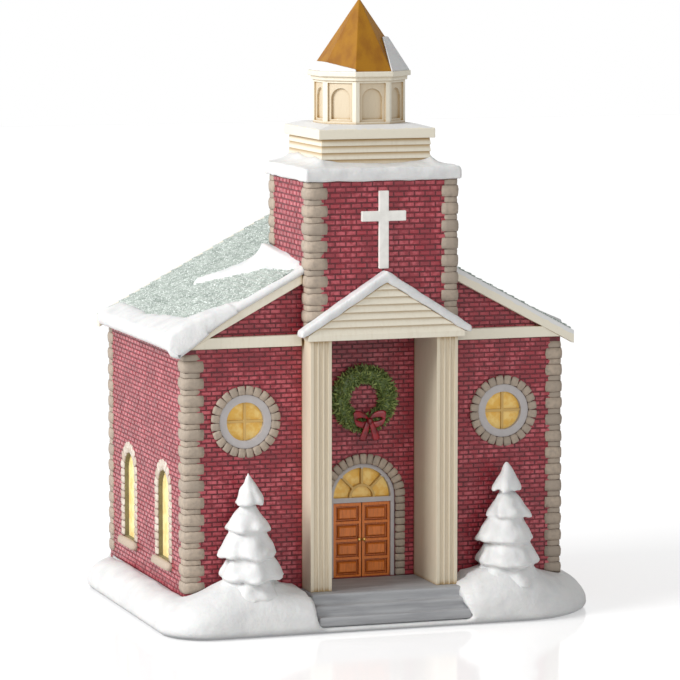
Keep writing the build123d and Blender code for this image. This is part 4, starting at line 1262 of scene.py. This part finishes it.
class CHURCH_OT_roof_snow(bpy.types.Operator):
    """Lay snow on the roof slopes, the ledge, the porch gable and the spire"""
    bl_idname = "church.roof_snow"
    bl_label = "Roof snow"

    def execute(self, context):
        look = context.scene.church_snow
        snow = bpy.data.materials["snow_glaze"]
        left = roof_blanket("left_roof_snow", -1, left_drift, look.depth)
        right = roof_blanket("right_roof_snow", 1, right_drift, look.depth)
        ride("left_roof_snow", left, snow, ("roof_snow",))
        ride("right_roof_snow", right, snow)
        plinth_low, plinth_high = BOX["belfry_plinth"]
        tower_low, tower_high = BOX["tower_walls"]

        def ledge(point, normal):
            """Draw the slab's rim in, and bank the snow against the plinth and up its corners."""
            x, y, z = point
            push = normal * 0.35 * MM * drift(x, y, z, 5 * MM)
            push.x -= 0.5 * (x - clamp(x, tower_low.x, tower_high.x))
            push.y -= 0.5 * (y - clamp(y, tower_low.y, tower_high.y))
            flat = max(0.0, normal.z - 0.3) / 0.7
            if flat:
                out = hypot(max(plinth_low.x - x, x - plinth_high.x, 0),
                            max(plinth_low.y - y, y - plinth_high.y, 0))
                corner = min(1.0, abs(x) / plinth_high.x) ** 3
                bank = (1.0 + 2.0 * corner) * MM * exp(-out / (2.6 * MM))
                push.z += flat * bank * (1 + 0.3 * drift(x, y, 0, 6 * MM))
            return push

        ride("ledge_snow", shifted(skinned(node_copy("tower_ledge"), 0.8 * MM), ledge), snow,
             ("tower_ledge",))

        def soft(point, normal):
            return normal * 0.3 * MM * drift(*point, 4 * MM)

        ride("gable_snow", shifted(skinned(node_copy("pediment_snow"), 0.55 * MM), soft), snow,
             ("pediment_snow",))
        work = bmesh.new()
        work.from_mesh(node_copy("spire_snow"))
        melted = 3.6 * MM
        crest = BOX["spire_snow"][1] - Vector((0, 0, melted))
        bmesh.ops.bisect_plane(work, geom=work.verts[:] + work.edges[:] + work.faces[:], plane_co=crest,
                               plane_no=(0, 0, 1), clear_outer=True)
        bmesh.ops.holes_fill(work, edges=rims(work))
        cut = bpy.data.meshes.new("spire_foot_snow")
        work.to_mesh(cut)
        work.free()
        ride("spire_foot_snow", skinned(cut, 0.3 * MM, 1), snow, ("spire_snow",))
        return {"FINISHED"}


# Firs

# Lower edge and top of each tier as shares of the height, and its reach as a share of the radius
TIERS = ((0.79, 1.0, 0.46), (0.595, 0.83, 0.69), (0.412, 0.77, 0.89), (0.242, 0.66, 1.0), (0.08, 0.5, 1.08))
# One tier from its top over the bough tips and in again below: share out, share up, how freely it waves
BOUGH = ((0.0, 1.0, 0.0), (0.24, 0.82, 0.2), (0.5, 0.54, 0.5), (0.76, 0.28, 0.8), (0.94, 0.09, 1.0),
         (1.0, 0.0, 1.0), (0.9, -0.05, 1.0), (0.5, 0.01, 0.5), (0.0, 0.03, 0.0))


def fir_mesh(look, node, phase):
    """Drooping tiers, each scalloped into boughs, under one soft skin of snow."""
    low, high = BOX[node]
    centre_x, centre_y = middle(node).x, fir_y(node)
    radius = (high.x - low.x) / 2
    segments, buried = 48, 4 * MM
    foot = BOX["snow_base"][1].z - buried
    tall = high.z - foot
    work = bmesh.new()
    for k, (edge_share, top_share, reach_share) in enumerate(TIERS):
        edge_z, top_z = foot + tall * edge_share, foot + tall * top_share
        reach = radius * reach_share
        lean = 0.07 * radius * sin(2.3 * k + 3 * phase) * (k < 4)
        rings = []
        for out, up, loose in BOUGH:
            ring = []
            for i in range(segments):
                angle = 2 * pi * i / segments
                wave = 0.5 * cos(look.lobes * angle + phase + 1.9 * k)
                wave += 2.2 * drift(1.6 * cos(angle), 1.6 * sin(angle), 7 * k + phase, 1)
                stretch = 1 + look.scallop * wave * loose
                z = edge_z + (top_z - edge_z) * up - look.droop * loose * max(0.0, wave) * 0.5
                ring.append(work.verts.new((centre_x + lean * loose + reach * out * stretch * cos(angle),
                                            centre_y + reach * out * stretch * sin(angle), z)))
            rings.append(ring)
        for one, two in zip(rings, rings[1:]):
            bridge(work, one, two)
    bmesh.ops.remove_doubles(work, verts=work.verts, dist=0.01 * MM)
    return skinned(meshed(work, node), look.grain, 2)


class CHURCH_OT_firs(bpy.types.Operator):
    """Model the two snow-laden firs"""
    bl_idname = "church.firs"
    bl_label = "Firs"

    def execute(self, context):
        look = context.scene.church_fir
        wall = BOX["nave_walls"][0].y + 1 * MM
        for node, phase in (("tree_left", 0.4), ("tree_right", 2.1)):
            mesh = fir_mesh(look, node, phase)

            def soften(point, normal):
                push = normal * 0.7 * MM * drift(*point, 4 * MM)
                push.y += min(0.0, wall - point.y)
                return push

            ride("snowy_" + node, shifted(mesh, soften), bpy.data.materials["snow_glaze"], (node,))
        return {"FINISHED"}


# Wreath and bow

def ring_mesh(centre, ring, tube):
    """A plain torus standing against a wall."""
    work = bmesh.new()
    around, across = 48, 12
    rows = []
    for i in range(around):
        turn = 2 * pi * i / around
        row = []
        for j in range(across):
            roll = 2 * pi * j / across
            reach = ring + tube * cos(roll)
            row.append(work.verts.new((centre.x + reach * cos(turn), centre.y + tube * sin(roll),
                                       centre.z + reach * sin(turn))))
        rows.append(row)
    for i in range(around):
        for j in range(across):
            one, two = rows[i], rows[(i + 1) % around]
            work.faces.new((one[j], two[j], two[(j + 1) % across], one[(j + 1) % across]))
    return meshed(work, "wreath_core")


def ribbon(work, path, width, thick):
    """A strip with a little thickness along a path of points in X and Z, Y giving its stand-off."""
    rows = []
    for spot, half in zip(path, width):
        rows.append([work.verts.new(spot + Vector((0, dy, 0)) + half * dz)
                     for dy, dz in ((-thick, 1), (-thick, -1), (thick, -1), (thick, 1))])
    for one, two in zip(rows, rows[1:]):
        bridge(work, one, two)
    work.faces.new(rows[0])
    work.faces.new(list(reversed(rows[-1])))


def bow_mesh(centre):
    """Two loops, two tails and a knot."""
    loop_steps, loop_wide, loop_tall, loop_lift, loop_out = 12, 6.0 * MM, 1.9 * MM, 1.2 * MM, 1.1 * MM
    tail_steps, tail_start, tail_splay, tail_long, tail_out = 6, 0.4 * MM, 2.4 * MM, 7.0 * MM, 0.7 * MM
    loop_thick, tail_thick, tail_wave = 0.32 * MM, 0.3 * MM, 0.3 * MM
    knot_radius, knot_out, knot_tall = 1.25 * MM, 0.9 * MM, 1.1
    work = bmesh.new()
    for side in (-1, 1):
        loop, width = [], []
        for i in range(loop_steps + 1):
            turn = 2 * pi * i / loop_steps
            reach = 0.5 - 0.5 * cos(turn)
            loop.append(centre + Vector((side * loop_wide * reach, -loop_out * reach,
                                         loop_tall * sin(turn) + loop_lift * reach)))
            width.append(Vector((0.3 * side, 0, 1.35)) * MM * (0.7 + 0.5 * reach))
        ribbon(work, loop, width, loop_thick)
        tail, width = [], []
        for i in range(tail_steps + 1):
            t = i / tail_steps
            tail.append(centre + Vector((side * (tail_start + tail_splay * t),
                                         -tail_out - tail_wave * sin(3 * t), -tail_long * t)))
            width.append(Vector((1.0, 0, 0.25 * side)) * MM * (0.9 + 0.6 * t))
        ribbon(work, tail, width, tail_thick)
    knot = bmesh.ops.create_icosphere(work, subdivisions=2, radius=knot_radius)
    for vertex in knot["verts"]:
        vertex.co = centre + Vector((vertex.co.x, vertex.co.y - knot_out, vertex.co.z * knot_tall))
    carrier = bpy.data.objects.new("bow", meshed(work, "bow"))
    finer = carrier.modifiers.new("round", "SUBSURF")
    finer.levels = finer.render_levels = 1
    return evaluated(link(carrier))


class CHURCH_OT_wreath(bpy.types.Operator):
    """Bind the leafy wreath and its ribbon bow"""
    bl_idname = "church.wreath"
    bl_label = "Wreath"

    def execute(self, context):
        look = context.scene.church_wreath
        low, high = BOX["wreath"]
        reach = (high.x - low.x) / 2
        tube, stand_off, leaf_room = 2.7 * MM, 1.6 * MM, 0.9 * MM
        centre = Vector((0, high.y - stand_off, (low.z + high.z) / 2))
        leaf = wreath_finish(look)
        values = {"Leaf": look.leaf, "Leaves": look.leaves / (10 * MM) ** 2, "Seed": look.seed,
                  "Material": leaf}
        mesh = grown("wreath", leaf_tree(), ring_mesh(centre, reach - tube - leaf_room, tube), values)
        ride("leafy_wreath", mesh, leaf, ("wreath",), smooth=False)
        knot = Vector((0.6 * MM, low.y - 0.4 * MM, low.z + 5.0 * MM))
        red = plain_finish("ribbon_paint", look.red, look.red_dark, 2.4 * MM, 0.4, Coat_Weight=0.1)
        ride("ribbon_bow", bow_mesh(knot), red, ("wreath_bow",))
        return {"FINISHED"}


# Doors, steps and moulded trim

# Rounding of the window frames' and the spire's edges
FRAME_EASE, SPIRE_EASE = 0.18 * MM, 0.2 * MM


def door_mesh(node):
    """A leaf with four panels, each sunk behind a groove and raised again in the middle."""
    low, high = BOX[node]
    setback, margin, groove, sunk, raised = 0.45 * MM, 0.9 * MM, 0.62 * MM, 0.75 * MM, 0.3 * MM
    front = low.y + setback
    panels = 4
    pitch = (high.z - low.z - margin) / panels
    work = bmesh.new()

    def rectangle(x0, x1, z0, z1, y):
        return [work.verts.new(spot) for spot in ((x0, y, z0), (x1, y, z0), (x1, y, z1), (x0, y, z1))]

    x0, x1 = low.x + margin, high.x - margin
    profile = ((0.0, front), (groove * 0.4, front + sunk), (groove, front + sunk),
               (groove * 2.1, front - raised))
    for i in range(panels):
        z0, z1 = low.z + i * pitch, low.z + (i + 1) * pitch
        head = high.z if i == panels - 1 else z1
        foot, top = z0 + margin * 0.8, z1 - margin * 0.2
        rings = [rectangle(low.x, high.x, z0, head, front)]
        rings += [rectangle(x0 + inset, x1 - inset, foot + inset, top - inset, y) for inset, y in profile]
        for outer, inner in zip(rings, rings[1:]):
            bridge(work, outer, inner)
        work.faces.new(rings[-1])
    bmesh.ops.remove_doubles(work, verts=work.verts, dist=0.001 * MM)
    turned_back = bmesh.ops.extrude_edge_only(work, edges=rims(work))["geom"]
    for item in turned_back:
        if isinstance(item, bmesh.types.BMVert):
            item.co.y = high.y
    bmesh.ops.holes_fill(work, edges=rims(work))
    return meshed(work, node)


def liner_mesh(node):
    """A thin painted lining of a side window's opening, from the wall's face to the pane."""
    low, high = BOX[node]
    side = -1 if low.x < 0 else 1
    wall = side * BOX["nave_walls"][1].x
    pane = low.x if side < 0 else high.x
    half = (high.y - low.y) / 2
    middle_y, spring = (low.y + high.y) / 2, high.z - half
    thick, steps = 0.2 * MM, 24
    arch = [pi * i / steps for i in range(steps + 1)]

    def outline(inset):
        reach = half - inset
        return [(middle_y + reach * cos(a), spring + reach * sin(a)) for a in arch] + [
            (middle_y - reach, low.z + inset), (middle_y + reach, low.z + inset)]

    work = bmesh.new()
    loops = [[work.verts.new((x, *spot)) for spot in outline(inset)]
             for x, inset in ((wall, 0.0), (wall, thick), (pane, thick), (pane, 0.0))]
    for one, two in zip(loops, loops[1:] + loops[:1]):
        bridge(work, one, two)
    return meshed(work, node + "_liner")


class CHURCH_OT_doors(bpy.types.Operator):
    """Make the panelled doors, their knobs and the glazed head"""
    bl_idname = "church.doors"
    bl_label = "Doors and windows"

    def execute(self, context):
        look = context.scene.church_trim
        wood = door_finish(look)
        for node in ("door_left", "door_right"):
            ride("panelled_" + node, door_mesh(node), wood, (node,), smooth=False)
        for node, pane in (("door_frame", "fanlight_pane"),
                           ("round_window_frame_left", "round_window_pane_left"),
                           ("round_window_frame_right", "round_window_pane_right")):
            centre = middle(pane)
            reach = low = (BOX[pane][1].x - BOX[pane][0].x) / 2
            if node == "door_frame":
                centre.z, reach, low = BOX[pane][0].z, BOX["door_right"][1].x - 0.2 * MM, 0.0
            grey = frame_finish(look, "grey_" + node, centre, reach, -low)
            ride("eased_" + node, eased_copy(node, FRAME_EASE), grey, (node,), smooth=False)
        # Panes with a faint painted glow that stands in for the lamp inside
        amber = glow_finish("amber_pane", look.amber, look.amber_pale)
        creamy = glow_finish("pale_pane", look.pale_pane, look.amber_pale)
        liner = plain_finish("reveal_paint", look.reveal, dimmed(look.reveal, 0.8), 3 * MM, 0.6)
        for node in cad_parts:
            if "side_window_pane" in node:
                coat(node, creamy)
                ride(node + "_liner", liner_mesh(node), liner, smooth=False)
            elif "pane" in node:
                coat(node, amber)
        coat("door_knobs", plain_finish("knob_gold", paint(224, 186, 110), paint(190, 150, 80), 1 * MM, 0.3,
                                        Metallic=0.8))
        return {"FINISHED"}


class CHURCH_OT_trim(bpy.types.Operator):
    """Round over and paint the cream trim, the spire, the cross and the steps"""
    bl_idname = "church.trim"
    bl_label = "Trim"

    def execute(self, context):
        look = context.scene.church_trim
        cream = cream_finish(look, "cream_paint")
        low, high = BOX["belfry_plinth"]
        lapped = cream_finish(look, "lapped_cream", (low.z, (high.z - low.z) / 4))
        lantern_high = BOX["lantern"][1]
        axis = middle("lantern")
        fall = tan(context.scene.church_roof.pitch)
        board_low, board_high = BOX["gable_cornice_right"]
        bare = 1.7 * MM
        crest = board_high.z + fall * board_low.x - bare
        dusted = capped_finish(look, context.scene.church_snow, "cream_rake_under_snow", crest, fall)

        # Faces inside the lantern's niches, which the cream finish darkens with tan: partly an antique wash,
        # partly painted shade.
        def in_niche(spot, normal):
            return abs(normal.z) < 0.3 and (spot - axis).dot(normal) < lantern_high.x - 0.35 * MM

        for node in ("gable_cornice_left", "gable_cornice_right", "back_gable_trim", "belfry_plinth",
                     "lantern", "lantern_cornice", "pediment", "pier_left", "pier_right"):
            mesh = eased_copy(node, look.ease)
            if node == "lantern":
                mark(mesh, "recess", in_niche)
            elif node.startswith("pier"):
                mark(mesh, "recess", lambda spot, normal: 0.6)
            finish = {"belfry_plinth": lapped, "gable_cornice_right": dusted}.get(node, cream)
            ride("eased_" + node, mesh, finish, (node,), smooth=False)
        band_top = BOX["plinth_cap"][1].z - 1.4 * MM
        capped = capped_finish(look, context.scene.church_snow, "cream_under_snow", band_top)
        white = plain_finish("cross_white", look.white, dimmed(look.white, 0.9), 3 * MM, 0.5)
        for name, node, width, slot, finish in (
                ("eased_plinth_cap", "plinth_cap", look.ease, "cream", capped),
                ("eased_spire", "spire", SPIRE_EASE, "gold", gold_finish(look)),
                ("eased_cross", "tower_cross", look.ease, "white_paint", white)):
            ride(name, eased_copy(node, width), finish, (node,), smooth=False)
        slate = step_finish(look)
        ride("worn_steps", skinned(node_copy("entrance_steps"), 0.7 * MM, 2), slate,
             ("entrance_steps",))
        return {"FINISHED"}


# Finishes of the light unit: name, two colours, width of the patches, roughness, other sockets and nodes
UNIT = (
    ("housing_plastic", (230, 230, 226), (218, 218, 214), 8 * MM, 0.45, {},
     ("light_housing", "battery_door")),
    ("switch_plastic", (30, 30, 32), (44, 44, 46), 2 * MM, 0.4, {}, ("switch_body", "switch_knob")),
    ("contact_steel", (196, 196, 194), (170, 170, 168), 2 * MM, 0.3, {"Metallic": 1.0},
     ("positive_contacts", "negative_contacts")),
    ("cell_sleeve", (52, 58, 70), (70, 76, 90), 6 * MM, 0.3, {"Coat_Weight": 0.3}, ("battery_cells",)),
    ("board_green", (40, 110, 66), (30, 90, 52), 4 * MM, 0.4, {}, ("circuit_board",)),
    ("lamp_lens", (250, 238, 208), (255, 246, 224), 2 * MM, 0.1, {"Transmission_Weight": 0.6}, ("led_lamp",)),
)


class CHURCH_OT_light_unit(bpy.types.Operator):
    """Finish the battery light unit under the base"""
    bl_idname = "church.light_unit"
    bl_label = "Light unit"

    def execute(self, context):
        for name, colour, second, spread, roughness, sockets, nodes in UNIT:
            finish = plain_finish(name, paint(*colour), paint(*second), spread, roughness, **sockets)
            for node in nodes:
                coat(node, finish)
        return {"FINISHED"}


# Stage

# Places and widths of the two lamps, in metres, and how far the floor lies below the church
KEY_PLACE, KEY_WIDE = (-0.95, -0.15, 0.65), 0.5
FILL_PLACE, FILL_WIDE = (-0.2, -1.9, 0.9), 1.0
FLOOR_DROP = 0.1 * MM


def area_light(name, place, target, side, power):
    """A square lamp aimed at a target."""
    lamp = bpy.data.lights.new(name, "AREA")
    lamp.size = side
    lamp.energy = power
    holder = link(bpy.data.objects.new(name, lamp))
    holder.location = place
    holder.rotation_euler = (Vector(target) - Vector(place)).to_track_quat("-Z", "Y").to_euler()
    return holder


def seen_directly(tree, path):
    """1 for a ray from the camera, a mirror or glass, 0 for light on its way round the scene."""
    direct = path.outputs["Is Camera Ray"]
    for kind in ("Is Glossy Ray", "Is Transmission Ray"):
        direct = put(tree, "ShaderNodeMath", {0: direct, 1: path.outputs[kind]},
                     operation="MAXIMUM").outputs[0]
    return direct


def floor_finish():
    """White floor that keeps the shadow, is lifted for the camera and is clear from below."""
    floor = Finish("white_floor")
    base = floor.add("ShaderNodeBsdfPrincipled", {"Base Color": (0.86, 0.86, 0.86, 1), "Roughness": 0.1,
                                                  "Specular IOR Level": 0.3})
    lift = floor.add("ShaderNodeEmission", {"Color": (1, 1, 1, 1), "Strength": 0.28})
    nothing = floor.add("ShaderNodeEmission", {"Strength": 0.0})
    path = floor.add("ShaderNodeLightPath")
    direct = seen_directly(floor.tree, path)
    seen = floor.add("ShaderNodeMixShader", {0: direct, 1: nothing.outputs[0], 2: lift.outputs[0]})
    both = floor.add("ShaderNodeAddShader", {0: base.outputs[0], 1: seen.outputs[0]})
    clear = floor.add("ShaderNodeBsdfTransparent")
    below = floor.add("ShaderNodeNewGeometry").outputs["Backfacing"]
    near = floor.calc("LESS_THAN", path.outputs["Ray Length"], 4 * MM)
    open_under = floor.calc("MAXIMUM", below, near)
    sided = floor.add("ShaderNodeMixShader", {0: open_under, 1: both.outputs[0], 2: clear.outputs[0]})
    floor.add("ShaderNodeOutputMaterial", {"Surface": sided.outputs[0]})
    return floor.material


def white_sky(strength):
    """Even light all round, and plain white where a ray sees it directly."""
    world = bpy.data.worlds.new("studio")
    bpy.context.scene.world = world
    world.use_nodes = True
    tree = world.node_tree
    tree.nodes.clear()
    path = put(tree, "ShaderNodeLightPath")
    direct = seen_directly(tree, path)
    level = put(tree, "ShaderNodeMapRange", {"Value": direct, "To Min": strength, "To Max": 1.0})
    sky = put(tree, "ShaderNodeBackground", {"Color": (1, 1, 1, 1), "Strength": level.outputs[0]})
    put(tree, "ShaderNodeOutputWorld", {"Surface": sky.outputs[0]})


class CHURCH_OT_stage(bpy.types.Operator):
    """Set the camera, the pale floor and the soft light"""
    bl_idname = "church.stage"
    bl_label = "Stage"

    def execute(self, context):
        look = context.scene.church_stage
        camera = bpy.data.cameras.new("camera")
        camera.lens = look.lens
        camera.sensor_fit = "HORIZONTAL"
        camera.clip_start = 0.01
        holder = link(bpy.data.objects.new("camera", camera))
        holder.location = look.place
        holder.rotation_euler = (look.tilt, 0, look.turn)
        context.scene.camera = holder
        mesh = bpy.data.meshes.new("floor")
        half = look.floor
        corners = [(x * half, y * half, -FLOOR_DROP) for x, y in ((-1, -1), (1, -1), (1, 1), (-1, 1))]
        mesh.from_pydata(corners, [], [(0, 1, 2, 3)])
        mesh.materials.append(floor_finish())
        link(bpy.data.objects.new("floor", mesh))
        aim = (CAD_BOX[0] + CAD_BOX[1]) / 2
        area_light("key", KEY_PLACE, aim, KEY_WIDE, look.key)
        area_light("fill", FILL_PLACE, aim, FILL_WIDE, look.fill)
        white_sky(look.sky)
        context.scene.view_settings.view_transform = "Standard"
        return {"FINISHED"}


class CHURCH_PT_panel(bpy.types.Panel):
    """Steps of the dress, in order"""
    bl_idname = "CHURCH_PT_panel"
    bl_label = "Village church"
    bl_space_type = "VIEW_3D"
    bl_region_type = "UI"
    bl_category = "Church"

    def draw(self, context):
        for operator in OPERATORS:
            self.layout.operator(operator.bl_idname)
        for name in SETTINGS:
            group = getattr(context.scene, name)
            box = self.layout.box()
            for key in group.bl_rna.properties.keys():
                if key not in ("rna_type", "name"):
                    box.prop(group, key)


OPERATORS = (CHURCH_OT_stage, CHURCH_OT_brickwork, CHURCH_OT_stonework, CHURCH_OT_shingles,
             CHURCH_OT_snow_base, CHURCH_OT_roof_snow, CHURCH_OT_firs, CHURCH_OT_wreath, CHURCH_OT_doors,
             CHURCH_OT_trim, CHURCH_OT_light_unit)


def register():
    for group in SETTINGS.values():
        bpy.utils.register_class(group)
    for name, group in SETTINGS.items():
        setattr(bpy.types.Scene, name, PointerProperty(type=group))
    for operator in OPERATORS:
        bpy.utils.register_class(operator)
    bpy.utils.register_class(CHURCH_PT_panel)


def unregister():
    bpy.utils.unregister_class(CHURCH_PT_panel)
    for operator in reversed(OPERATORS):
        bpy.utils.unregister_class(operator)
    for name in SETTINGS:
        delattr(bpy.types.Scene, name)
    for group in reversed(SETTINGS.values()):
        bpy.utils.unregister_class(group)


def main():
    register()
    for operator in OPERATORS:
        area, step = operator.bl_idname.split(".")
        getattr(getattr(bpy.ops, area), step)()


if __name__ == "__main__":
    main()
